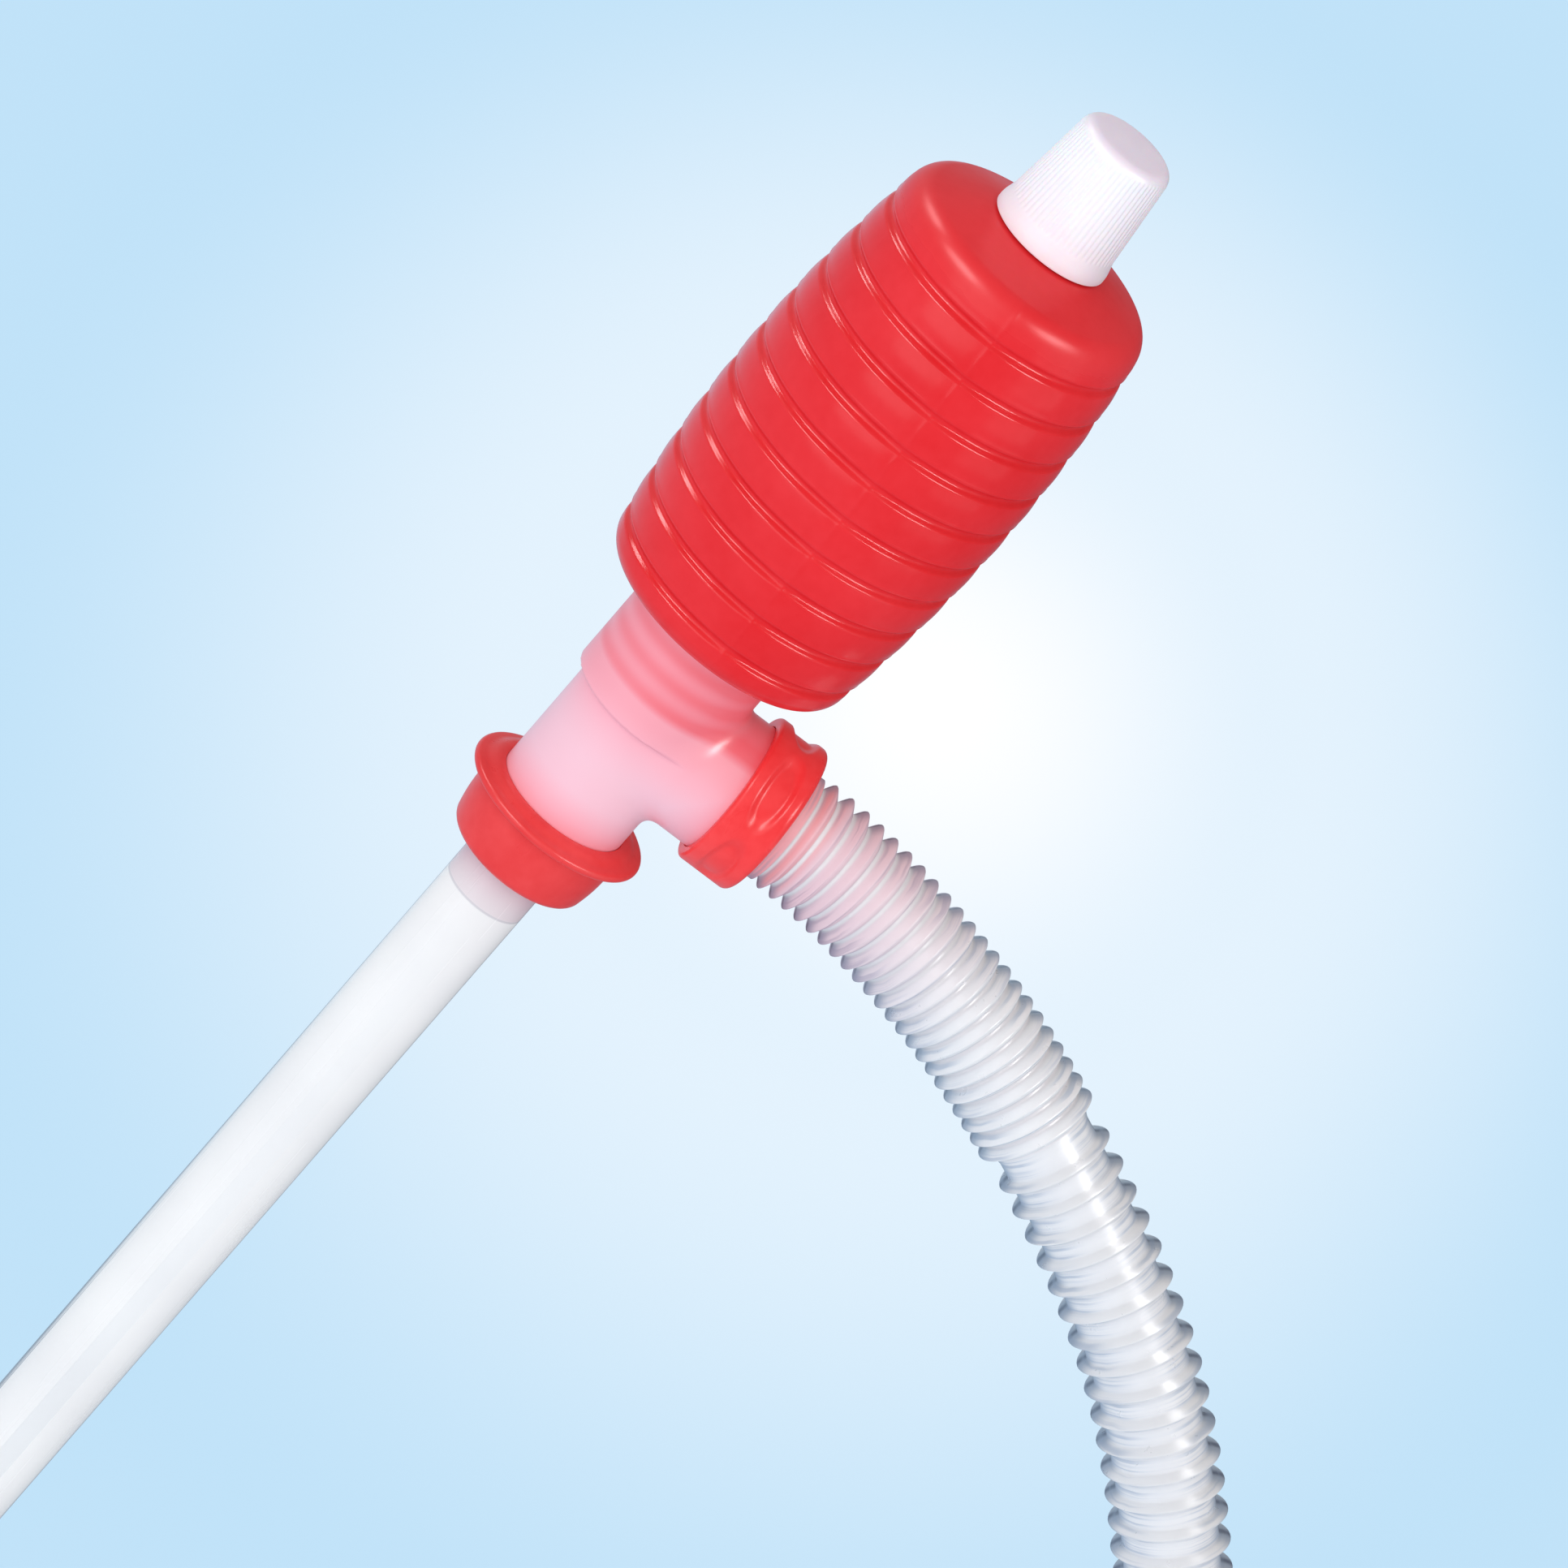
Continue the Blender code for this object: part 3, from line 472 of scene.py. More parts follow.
def white_cap():
    """White plastic, with painted red bounce light from the bulb, pinker, above its foot, and
    painted shade, greyer on its right and duller on top.
    """
    white = srgb(243, 238, 244), srgb(249, 245, 250)
    painted_bounce_pink, painted_side_shade, painted_top_shade = srgb(250, 232, 238), srgb(232, 222, 229), srgb(240, 226, 240)
    finish = Finish("cap_white")
    colour = finish.tones(finish.noise(60), *white, spread=0.15)
    # Painted red bounce light from the bulb, fading up from the cap's foot.
    foot = finish.fade_along("Z", CAP_FOOT_Z, CAP_FOOT_Z + 9, start=1.0, end=0.0)
    colour = finish.mix(foot, colour, painted_bounce_pink)
    # Painted shade on the cap's right side.
    colour = finish.mix(finish.fade_along("X", 2, 12), colour, painted_side_shade)
    # Painted shade on the cap's top face.
    top = finish.fade_along("Z", CAP_TOP_Z - 2.0, CAP_TOP_Z - 0.3)
    finish.colour(finish.mix(top, colour, painted_top_shade))
    finish.roughness(finish.noise(220, detail=4), 0.34, 0.5)
    finish.bump(finish.noise(900, detail=2), strength=0.15, distance=0.1)
    finish.set(subsurface_weight=0.3, subsurface_scale=0.002)
    return finish.material


CAP_WHITE = white_cap()


def pink_tee():
    """Milky polyethylene that shows the red of the bulb's neck standing in it, with painted red
    bounce light from the red pieces round it.
    """
    pale, pink, deep = srgb(246, 204, 217), srgb(250, 174, 188), srgb(244, 112, 124)
    least, rib_share, cloud_share = 0.12, 0.08, 0.16
    finish = Finish("tee_pink")
    height = finish.split(finish.place, "Z")
    neck = finish.fade_along("Z", NECK_FOOT_Z - 3.5, NECK_FOOT_Z + 2.0)
    wave = finish.math("SINE", finish.math("MULTIPLY", height, 2 * math.pi / (NECK_RIB_PITCH * MM)))
    ribs = finish.math("MULTIPLY", finish.math("MULTIPLY", wave, neck), rib_share)
    # Painted red bounce light: the neck showing through gets redder towards +X.
    side = finish.fade_along("X", -16, 16, start=0.66, end=0.86)
    inside = finish.math("ADD", finish.math("MULTIPLY", neck, side), ribs)
    # Painted red glow from the nut, towards the branch's end.
    branch = finish.fade_along("X", 10, 26, end=0.5)
    # Painted red glow from the collar, near the tube's foot.
    foot = finish.fade_along("Z", 2, 14, start=0.5, end=0.0)
    # Painted red glow from the bulb, rising towards the socket.
    painted_glow_up = finish.fade_along("Z", 18, 34, start=0.05, end=0.5)
    red = finish.math("MAXIMUM", inside, branch)
    red = finish.math("MAXIMUM", red, finish.math("MAXIMUM", foot, painted_glow_up))
    cloud = finish.math("SUBTRACT", finish.noise(45, detail=2), 0.5)
    red = finish.math("ADD", red, finish.math("MULTIPLY", cloud, cloud_share))
    red = finish.math("ADD", red, least)
    finish.colour(finish.ramp(red, [(0.0, pale), (0.5, pink), (1.0, deep)]))
    finish.roughness(finish.noise(140, detail=2), 0.28, 0.38)
    finish.bump(finish.noise(500, detail=2), strength=0.06, distance=0.12)
    finish.set(ior=1.48)
    return finish.material


TEE_PINK = pink_tee()


def milky_pipe():
    """Milky tube with thin painted grey shade where it is seen edge on. The valve's spigot shows
    through, most near the collar.
    """
    milky = srgb(241, 239, 239), srgb(247, 245, 244)
    spigot_pink, end_grey, painted_edge_shade = srgb(206, 172, 185), srgb(186, 180, 190), srgb(134, 142, 160)
    finish = Finish("pipe_milky")
    facing = finish.facing()
    colour = finish.tones(finish.noise(30), *milky, spread=0.15)
    spigot = finish.fade_along("Z", SPIGOT_FOOT_Z - 0.3, SPIGOT_FOOT_Z + 0.6)
    upward = finish.fade_along("Z", SPIGOT_FOOT_Z, -PLUG_LENGTH, start=0.45)
    spigot = finish.math("MULTIPLY", spigot, upward)
    spigot = finish.math("MULTIPLY", spigot, finish.fade(facing, 0.1, 0.7, start=0.75))
    colour = finish.mix(spigot, colour, spigot_pink)
    below = finish.fade_along("Z", SPIGOT_FOOT_Z - 0.4, SPIGOT_FOOT_Z - 0.1, end=0.5)
    above = finish.fade_along("Z", SPIGOT_FOOT_Z + 0.1, SPIGOT_FOOT_Z + 0.4, start=1.0, end=0.0)
    colour = finish.mix(finish.math("MULTIPLY", below, above), colour, end_grey)
    # Painted shade: greyer where the tube is seen edge on.
    finish.colour(finish.mix(finish.fade(facing, 0.74, 1.0, end=0.9), colour, painted_edge_shade))
    lines = finish.noise(260, stretch=(1, 1, 0.02))
    finish.roughness(lines, 0.22, 0.3)
    finish.bump(lines, strength=0.04, distance=0.12)
    finish.set(transmission_weight=0.04, ior=1.46)
    return finish.material


PIPE_MILKY = milky_pipe()


def clear_hose():
    """Soft clear plastic: milky facing the eye, painted grey shade edge on, a painted red glow of
    the nut, pink, near it, painted highlights in the fine grooves, and duller near the nut.
    """
    milky, painted_nut_glow = (srgb(250, 249, 252), srgb(254, 253, 255)), srgb(248, 212, 222)
    painted_close_glow, painted_groove_highlight = srgb(255, 180, 186), srgb(255, 250, 252)
    streak_share, drift, nut_dull = 0.55, 0.7, 0.3
    finish = Finish("hose_clear")
    facing = finish.facing()
    nut = (NUT_END * MM, 0.0, BRANCH_Z * MM)
    away = finish.add("ShaderNodeVectorMath", {0: finish.place, 1: nut}, operation="DISTANCE")

    def near_nut(low, high):
        return finish.fade(away.outputs["Value"], low * MM, high * MM, start=1.0, end=0.0)

    # Painted red glow of the nut, fading off along the hose.
    near = near_nut(10, 56)
    # Painted shade for where the hose is seen edge on: greyer, then darker at the very rim, both
    # pinker near the nut.
    edge = finish.mix(near, srgb(186, 198, 216), srgb(190, 162, 182))
    rim = finish.mix(near, srgb(116, 126, 150), srgb(130, 98, 118))
    streak_grey = finish.mix(near, srgb(170, 186, 210), srgb(196, 156, 176))
    colour = finish.mix(near, finish.tones(finish.noise(120), *milky, spread=0.2), painted_nut_glow)
    # Painted red glow, strongest in a ring just past the nut.
    colour = finish.mix(near_nut(12.2, 15.2), colour, painted_close_glow)
    # Painted shade as the surface turns edge on: greyer, then darker at the rim.
    colour = finish.mix(finish.fade(facing, 0.42, 0.86), colour, edge)
    colour = finish.mix(finish.fade(facing, 0.84, 1.0), colour, rim)
    along = finish.add("ShaderNodeAttribute", attribute_name="along").outputs["Fac"]
    along = finish.math("ADD", along, finish.math("MULTIPLY", finish.noise(160, detail=1), drift))
    rings = finish.add(
        "ShaderNodeTexNoise", {"Scale": 1.1, "Detail": 2.0}, noise_dimensions="1D")
    finish.join(along, rings.inputs["W"])
    aside = finish.fade(facing, 0.05, 0.34)
    streak = finish.math("MULTIPLY", finish.fade(rings.outputs["Fac"], 0.42, 0.70), aside)
    colour = finish.mix(finish.math("MULTIPLY", streak, streak_share), colour, streak_grey)
    # Painted highlight: the fine ribs' grooves turn white.
    groove = finish.add("ShaderNodeAttribute", attribute_name="groove").outputs["Fac"]
    finish.colour(finish.mix(groove, colour, painted_groove_highlight))
    dull = finish.math("MULTIPLY", near_nut(20, 45), nut_dull)
    finish.roughness(finish.noise(300), 0.27, 0.37, extra=dull)
    finish.bump(finish.noise(400, detail=2), strength=0.08, distance=0.1)
    finish.set(transmission_weight=0.15, ior=1.42)
    return finish.material


HOSE_CLEAR = clear_hose()


def plain_plastic(name, dark, light, low, high):
    finish = Finish(name)
    finish.colour(finish.tones(finish.noise(90, detail=4), dark, light, spread=0.15))
    finish.roughness(finish.noise(250, detail=4), low, high)
    finish.bump(finish.noise(800, detail=2), strength=0.15, distance=0.1)
    return finish.material


INSERT_NATURAL = plain_plastic(
    "insert_natural", srgb(232, 226, 226), srgb(244, 240, 238), 0.35, 0.5)
SEAL_RUBBER = plain_plastic("seal_rubber", srgb(222, 206, 206), srgb(234, 220, 218), 0.5, 0.65)


# Squeeze bulb

BULB_COLUMNS = 144
BULB_CORNER_STEPS = 12
BULB_INNER_ROWS = np.linspace(0.94, 0.06, 16)
RING_ROWS = np.linspace(-0.75, 0.75, 19)
BAND_ROWS = np.linspace(0.29, 0.71, 7)
BAND_FADE_FOOT, BAND_FADE_TOP = (2, 6), (2, 7)
END_SLOPE_SHARE = 0.9
NECK_EDGE = 0.8
NECK_FILLET = 0.3
NECK_RIB_FLANK = (0.7, 0.5)
BEAD_EDGE, BEAD_FILLET = 0.6, 0.4
SPOUT_EDGE, SPOUT_INNER_EDGE = 0.5, 0.4
RING_FLAT = 0.2
RING_LIP_PLACE, RING_LIP_WIDTH = 1.18, 0.17
SHOULDER_REACH = 12
SHOULDER_ROWS = ((4, 0.75), (1, 0.15))
SKIN_MARGIN = 0.5
SEAM_HEIGHT, SEAM_WIDTH = 0.1, 0.45
SEAM_START, SEAM_BEAD_GAP = 3, 2
SEAM_RING_LOSS, SEAM_RING_REACH = 0.5, 4.0
SEAM_COLUMNS = (-3.2, -1.6, -0.8, -0.4, 0.0, 0.4, 0.8, 1.6, 3.2)
SEAM_COLUMN_TURN = 0.033
RINGS = BULB_FOOT_Z + FIRST_RING + RING_PITCH * np.arange(RING_COUNT)


def barrel_radius(height):
    off = (height - BULB_FOOT_Z - BULB_HEIGHT / 2) / (BULB_HEIGHT / 2)
    return BULB_RADIUS - BARREL_DROP * off * off


def neck_outline():
    """From the inside of the neck's foot up its ribs to the bulb's underside."""
    bore = NECK_RADIUS - NECK_WALL
    corners = [(bore, NECK_FOOT_Z), (NECK_RADIUS, NECK_FOOT_Z), (NECK_RADIUS, BULB_FOOT_Z)]
    outline = rounded(corners, [0, NECK_EDGE, 0])[:-1]
    for i in reversed(range(NECK_RIB_COUNT)):
        crest = BULB_FOOT_Z - NECK_RIB_PITCH * (i + 0.5)
        outline += [
            (NECK_RADIUS, crest - 2 * NECK_RIB_HEIGHT),
            (NECK_RADIUS + NECK_RIB_FLANK[0] * NECK_RIB_HEIGHT, crest - NECK_RIB_FLANK[1]),
            (NECK_RADIUS + NECK_RIB_HEIGHT, crest),
            (NECK_RADIUS, crest + NECK_RIB_HEIGHT),
        ]
    fillet = [(NECK_RADIUS, BULB_FOOT_Z - NECK_FILLET), (NECK_RADIUS + NECK_FILLET, BULB_FOOT_Z)]
    return outline + fillet


def spout_outline():
    """From the shoulder over the bead and the spout to the spout's inside edge."""
    bead_top = BULB_TOP_Z + BEAD_HEIGHT
    corners = [
        (BEAD_RADIUS, BULB_TOP_Z), (BEAD_RADIUS, bead_top), (SPOUT_RADIUS, bead_top),
        (SPOUT_RADIUS, SPOUT_TOP_Z), (SPOUT_RADIUS - SPOUT_WALL, SPOUT_TOP_Z),
    ]
    sizes = [0, BEAD_EDGE, BEAD_FILLET, SPOUT_EDGE, SPOUT_INNER_EDGE]
    shoulder = [(BEAD_RADIUS + out, BULB_TOP_Z - below) for out, below in SHOULDER_ROWS]
    return shoulder + rounded(corners, sizes)


def bulb_outline():
    """Neck, underside, barrel, shoulder and spout, then back down the inside."""
    lean = math.degrees(math.atan(4 * BARREL_DROP / BULB_HEIGHT * END_SLOPE_SHARE))
    rise = math.sin(math.radians(lean))
    run = math.cos(math.radians(lean))
    foot_end = BULB_FOOT_Z + BOTTOM_CORNER * (1 - rise)
    top_end = BULB_EDGE_Z - TOP_CORNER * (1 - rise)
    foot_centre = barrel_radius(foot_end) - BOTTOM_CORNER * run
    top_centre = barrel_radius(top_end) - TOP_CORNER * run
    heights = [foot_end, top_end]
    for ring in RINGS:
        heights += list(ring + RING_WIDTH * RING_ROWS)
        heights += list(ring + RING_PITCH * BAND_ROWS)
    heights = sorted(h for h in set(heights) if foot_end < h < top_end)
    outline = neck_outline()
    outline += arc(
        foot_centre, BULB_FOOT_Z + BOTTOM_CORNER, BOTTOM_CORNER, -90, -lean, BULB_CORNER_STEPS)
    outline += [(barrel_radius(h), h) for h in heights]
    outline += arc(
        top_centre, BULB_EDGE_Z - TOP_CORNER, TOP_CORNER, lean, SHOULDER_SLOPE, BULB_CORNER_STEPS)
    outline += spout_outline()
    outline.append((SPOUT_RADIUS - SPOUT_WALL, BULB_TOP_Z - BULB_WALL))
    outline.append((top_centre, BULB_EDGE_Z - BULB_WALL))
    for height in BULB_FOOT_Z + BULB_INNER_ROWS * BULB_HEIGHT:
        outline.append((barrel_radius(height) - RING_DEPTH - BULB_WALL, height))
    outline.append((foot_centre, BULB_FOOT_Z + BULB_WALL))
    outline.append((NECK_RADIUS - NECK_WALL, BULB_FOOT_Z + BULB_WALL))
    return outline


def bulb_warp(r, h, t):
    """Crowned bands and pressed-in rings, softer at the parting line, which stands up a little."""
    skin = (h > BULB_FOOT_Z + SKIN_MARGIN) & (h < BULB_TOP_Z - SKIN_MARGIN)
    skin &= (r > barrel_radius(h) - TOP_CORNER - SHOULDER_REACH) & (r > BEAD_RADIUS)
    outside = skin & (r > barrel_radius(h) - 0.5 * BULB_WALL)
    off_seam = np.minimum(np.abs(t - math.pi / 2), np.abs(t - 3 * math.pi / 2)) * r
    share = (h - RINGS[0]) / RING_PITCH % 1.0
    crown = BAND_BULGE * (1 - (2 * share - 1) ** 2) - BAND_BULGE / 2
    crown *= smoothstep(*BAND_FADE_FOOT, h - BULB_FOOT_Z)
    crown *= smoothstep(*BAND_FADE_TOP, BULB_EDGE_Z - h)
    r = r + np.where(outside, crown, 0.0)
    depth = 1 - SEAM_RING_LOSS * bell(off_seam, SEAM_RING_REACH)
    for ring in RINGS:
        u = np.abs(h - ring) / (RING_WIDTH / 2)
        dip = RING_DEPTH * smoothstep(1.0, RING_FLAT, u)
        lip = RING_LIP * bell(u - RING_LIP_PLACE, RING_LIP_WIDTH) * (h > ring)
        r = r - np.where(outside, depth * (dip - lip), 0.0)
    seam = SEAM_HEIGHT * bell(off_seam, SEAM_WIDTH)
    seam *= smoothstep(BULB_FOOT_Z, BULB_FOOT_Z + SEAM_START, h)
    shoulder = skin & (h > BULB_EDGE_Z - TOP_CORNER) & (r > BEAD_RADIUS + SEAM_BEAD_GAP)
    return r + np.where(outside | shoulder, seam, 0.0)


SEAM_ANGLES = [
    math.pi / 2 * side + column * SEAM_COLUMN_TURN for side in (1, 3) for column in SEAM_COLUMNS]
bulb = revolve("bulb", bulb_outline(), BULB_COLUMNS, bulb_warp, angles=SEAM_ANGLES, sharp=50)
dress(bulb, "pump", "bulb_red", BULB_RED, "squeeze_bulb")


# Vent cap

CAP_FOOT_EDGES = (0.3, 0.4, 0.8)
CAP_FOOT_HEIGHT = 1.2
CAP_EDGE_DROP = 0.25
CAP_EDGE_ARC = (8, 86, 10)
CAP_SIDE_ROWS = (0.015, 0.03, 0.05, 0.08, 0.3, 0.6, 0.9, 0.95, 0.98)
CAP_TOP_ROWS = (0.6, 0.45, 0.3, 0.12, 0.0)
CAP_RIB_COLUMNS = 8
CAP_RIB_ROUND = 1.4
CAP_RIB_RUN_IN, CAP_RIB_RUN_OUT = 0.9, 1.6
CAP_RIB_END = 0.55
CAP_SKIN = 0.8


def cap_outline():
    """The hollow, the foot, the tapered side and the domed top."""
    relief = BEAD_RADIUS + RUN_GAP
    relief_z = BULB_TOP_Z + BEAD_HEIGHT + RUN_GAP
    roof_z = LINER_TOP_Z + SEAT_GAP
    band_z = CAP_FOOT_Z + CAP_BAND
    edge_z = CAP_TOP_Z - CAP_EDGE
    hollow = [
        (0.0, roof_z), (CAP_BORE, roof_z),
        (CAP_BORE, relief_z + BEAD_RADIUS + RUN_GAP - CAP_BORE), (relief, relief_z)]
    foot = rounded(
        [(relief, relief_z), (relief, CAP_FOOT_Z), (CAP_FOOT_RADIUS, CAP_FOOT_Z - CAP_FOOT_DROP),
         (CAP_FOOT_RADIUS, CAP_FOOT_Z + CAP_FOOT_HEIGHT), (CAP_WAIST_RADIUS, band_z)],
        [0, *CAP_FOOT_EDGES, 0])[1:]
    taper = CAP_TOP_RADIUS - CAP_WAIST_RADIUS
    side = [(CAP_WAIST_RADIUS + taper * s, band_z + (edge_z - band_z) * s) for s in CAP_SIDE_ROWS]
    edge = arc(CAP_TOP_RADIUS - CAP_EDGE, edge_z - CAP_EDGE_DROP, CAP_EDGE, *CAP_EDGE_ARC)
    top = [(CAP_TOP_RADIUS * s, CAP_TOP_Z - CAP_DOME * s * s) for s in CAP_TOP_ROWS]
    return hollow + foot + side + edge + top


def cap_warp(r, h, t):
    """Fine grip ribs between the plain band and the top edge."""
    low = CAP_FOOT_Z + CAP_BAND
    high = CAP_TOP_Z - CAP_RIB_END * CAP_EDGE
    length = smoothstep(low, low + CAP_RIB_RUN_IN, h)
    length *= 1 - smoothstep(high - CAP_RIB_RUN_OUT, high, h)
    groove = (0.5 - 0.5 * np.cos(CAP_RIB_COUNT * t)) ** CAP_RIB_ROUND
    return np.where(r > CAP_BORE + CAP_SKIN, r - CAP_RIB_DEPTH * groove * length, r)


cap = revolve("cap", cap_outline(), CAP_RIB_COLUMNS * CAP_RIB_COUNT, cap_warp)
dress(cap, "cap", "cap_white", CAP_WHITE, "vent_cap")


# Tee: the solid's own form, with its joins and edges run into each other

TEE_VOXEL = 0.5
TEE_RELAX, TEE_RELAX_ROUNDS = 0.5, 6
TEE_SKIN = 0.95
TEE_END_MARGIN = 0.4
TEE_FIT_ROUNDS = 4
TEE_NUDGE = 0.02
LEAST_SLOPE = 0.25
STEP_RUN_IN = 0.25
BRANCH_TAPER = 3.5
BRANCH_TAPER_X = (-6.0, 12.0)
BRANCH_BACK_X = -2.0
BRANCH_JOIN = 3.2


def smooth_least(first, second, reach):
    """The lesser of two distances, run together over a reach."""
    share = np.clip(0.5 + 0.5 * (second - first) / reach, 0, 1)
    return second * (1 - share) + first * share - reach * share * (1 - share)


def tee_distance(points):
    """How far points stand outside the tee's tube, socket and branch."""
    x, y, z = points.T
    step = smoothstep(SOCKET_STEP_Z - STEP_RUN_IN, SOCKET_STEP_Z + SOCKET_STEP_CHAMFER, z)
    trunk = np.hypot(x, y) - (TUBE_RADIUS + (SOCKET_RADIUS - TUBE_RADIUS) * step)
    branch = np.hypot(y, z - BRANCH_Z) - BRANCH_RADIUS
    branch = branch + BRANCH_TAPER * (1 - smoothstep(*BRANCH_TAPER_X, x))
    return smooth_least(trunk, np.maximum(branch, BRANCH_BACK_X - x), BRANCH_JOIN)


def make_tee():
    obj = add_object("tee", NODES["tee_body"].data.copy())
    remesh = obj.modifiers.new("remesh", "REMESH")
    remesh.mode = "VOXEL"
    remesh.voxel_size = TEE_VOXEL * MM
    relax = obj.modifiers.new("relax", "SMOOTH")
    relax.factor = TEE_RELAX
    relax.iterations = TEE_RELAX_ROUNDS
    settle(obj)
    points = read_vertices(obj.data, "co") / MM
    skin = (points[:, 2] > TUBE_FOOT_Z + TEE_END_MARGIN)
    skin &= (points[:, 2] < SOCKET_TOP_Z - TEE_END_MARGIN)
    skin &= (points[:, 0] < BRANCH_REACH - TEE_END_MARGIN)
    skin &= np.abs(tee_distance(points)) < TEE_SKIN
    for _ in range(TEE_FIT_ROUNDS):
        away = tee_distance(points)
        nudged = [tee_distance(points + TEE_NUDGE * axis) for axis in np.eye(3)]
        slope = np.stack([(there - away) / TEE_NUDGE for there in nudged], axis=1)
        size = np.maximum((slope * slope).sum(axis=1), LEAST_SLOPE)
        points = points - np.where(skin, away / size, 0.0)[:, None] * slope
    obj.data.vertices.foreach_set("co", (points * MM).ravel())
    obj.data.update()
    shade(obj.data, sharp=60)
    return obj


tee = make_tee()
dress(tee, "pump", "tee_pink", TEE_PINK, "tee_body")


# Tank collar

COLLAR_COLUMNS = 128
PLUG_ROWS = np.linspace(0.12, 0.92, 10)
PLUG_FOOT_INSET, PLUG_FOOT_EDGE = 0.3, 1.5
PLUG_FILLET = 0.9
FLANGE_RIM = 1.2
FLANGE_EDGE_ARC = (-85, 75, 10)
FLANGE_SLOPE_RUN, FLANGE_SLOPE_RISE, FLANGE_SLOPE_EDGE = 2.2, 0.25, 0.6
FLANGE_CROWN_EDGE = 1.0
FLANGE_LIP, FLANGE_LIP_EDGE = 1.0, 0.35


def collar_outline():
    """The bulging plug, the flange's underside and edge, its crown and the socket for the tee."""
    socket = TUBE_RADIUS + SEAT_GAP
    lip = TUBE_RADIUS + CLOSE_FIT
    pipe_hole = PIPE_RADIUS + SEAT_GAP
    floor_z = TUBE_FOOT_Z - SEAT_GAP
    crown_z = FLANGE_EDGE + FLANGE_CROWN
    side = []
    for share in PLUG_ROWS:
        radius = PLUG_FOOT_RADIUS + (PLUG_TOP_RADIUS - PLUG_FOOT_RADIUS) * share
        bulge = PLUG_BULGE * math.sin(math.pi * share)
        side.append((radius + bulge, -PLUG_LENGTH * (1 - share)))
    foot = (PLUG_FOOT_RADIUS - PLUG_FOOT_INSET, -PLUG_LENGTH)
    plug = rounded([(pipe_hole, -PLUG_LENGTH), foot, side[0]], [0, PLUG_FOOT_EDGE, 0])
    under = rounded(
        [side[-1], (PLUG_TOP_RADIUS, 0.0), (FLANGE_RADIUS - FLANGE_RIM, 0.0)],
        [0, PLUG_FILLET, 0])[1:]
    edge_size = FLANGE_EDGE / 2
    edge = arc(FLANGE_RADIUS - edge_size, edge_size, edge_size, *FLANGE_EDGE_ARC)
    crown = rounded(
        [edge[-1], (FLANGE_RADIUS - FLANGE_SLOPE_RUN, FLANGE_EDGE + FLANGE_SLOPE_RISE),
         (socket + FLANGE_CROWN, crown_z), (lip, crown_z), (lip, crown_z - FLANGE_LIP),
         (socket, FLANGE_EDGE), (socket, floor_z)],
        [0, FLANGE_SLOPE_EDGE, FLANGE_CROWN_EDGE, FLANGE_LIP_EDGE, 0, 0, 0])[1:]
    return plug + side[1:-1] + under + edge + crown + [(pipe_hole, floor_z)]


collar = revolve("collar", collar_outline(), COLLAR_COLUMNS)
dress(collar, "pump", "fitting_red", COLLAR_RED, "tank_collar")


# Intake pipe

PIPE_COLUMNS = 72
PIPE_EDGES = (0.35, 0.35, 0.3, 0.3)
SLOT_OVERCUT = 1.0


def make_pipe():
    """A plain tube with crossed slots cut into its foot."""
    outline = rounded(
        [(PIPE_RADIUS, PIPE_FOOT_Z), (PIPE_RADIUS, PIPE_TOP_Z),
         (PIPE_BORE, PIPE_TOP_Z), (PIPE_BORE, PIPE_FOOT_Z)],
        PIPE_EDGES, steps=3)
    pipe = revolve("pipe", outline, PIPE_COLUMNS)
    middle = Vector((0.0, 0.0, PIPE_FOOT_Z + FOOT_SLOT_HEIGHT / 2 - SLOT_OVERCUT))
    size = Vector((3 * PIPE_RADIUS, FOOT_SLOT_WIDTH, FOOT_SLOT_HEIGHT + 2 * SLOT_OVERCUT))
    cutters = []
    for turn in (0.0, math.pi / 2):
        bpy.ops.mesh.primitive_cube_add(size=1.0, location=middle * MM, rotation=(0, 0, turn))
        cutters.append(bpy.context.object)
        cutters[-1].scale = size * MM
        cut = pipe.modifiers.new("slot", "BOOLEAN")
        cut.object = cutters[-1]
        cut.solver = "EXACT"
    settle(pipe)
    for cutter in cutters:
        bpy.data.objects.remove(cutter, do_unlink=True)
    return pipe


dress(make_pipe(), "pump", "pipe_milky", PIPE_MILKY, "intake_pipe")


# Hose nut

NUT_COLUMNS = 240
NUT_ROWS, NUT_ROWS_START, NUT_ROWS_END = 30, 1.1, 0.3
NUT_MOUTH_EDGE, NUT_START_EDGE = 0.3, 0.9
NUT_HOLE_EDGE, NUT_INNER_EDGE = 0.5, 0.3
NUT_MOUTH_DEPTH, NUT_MOUTH_STEP = 1.0, 0.6
GRIP_POWER = 2.2
GRIP_OUTER, GRIP_FLOOR = 1.1, 0.62
GRIP_SKIN = (2.4, 0.2)


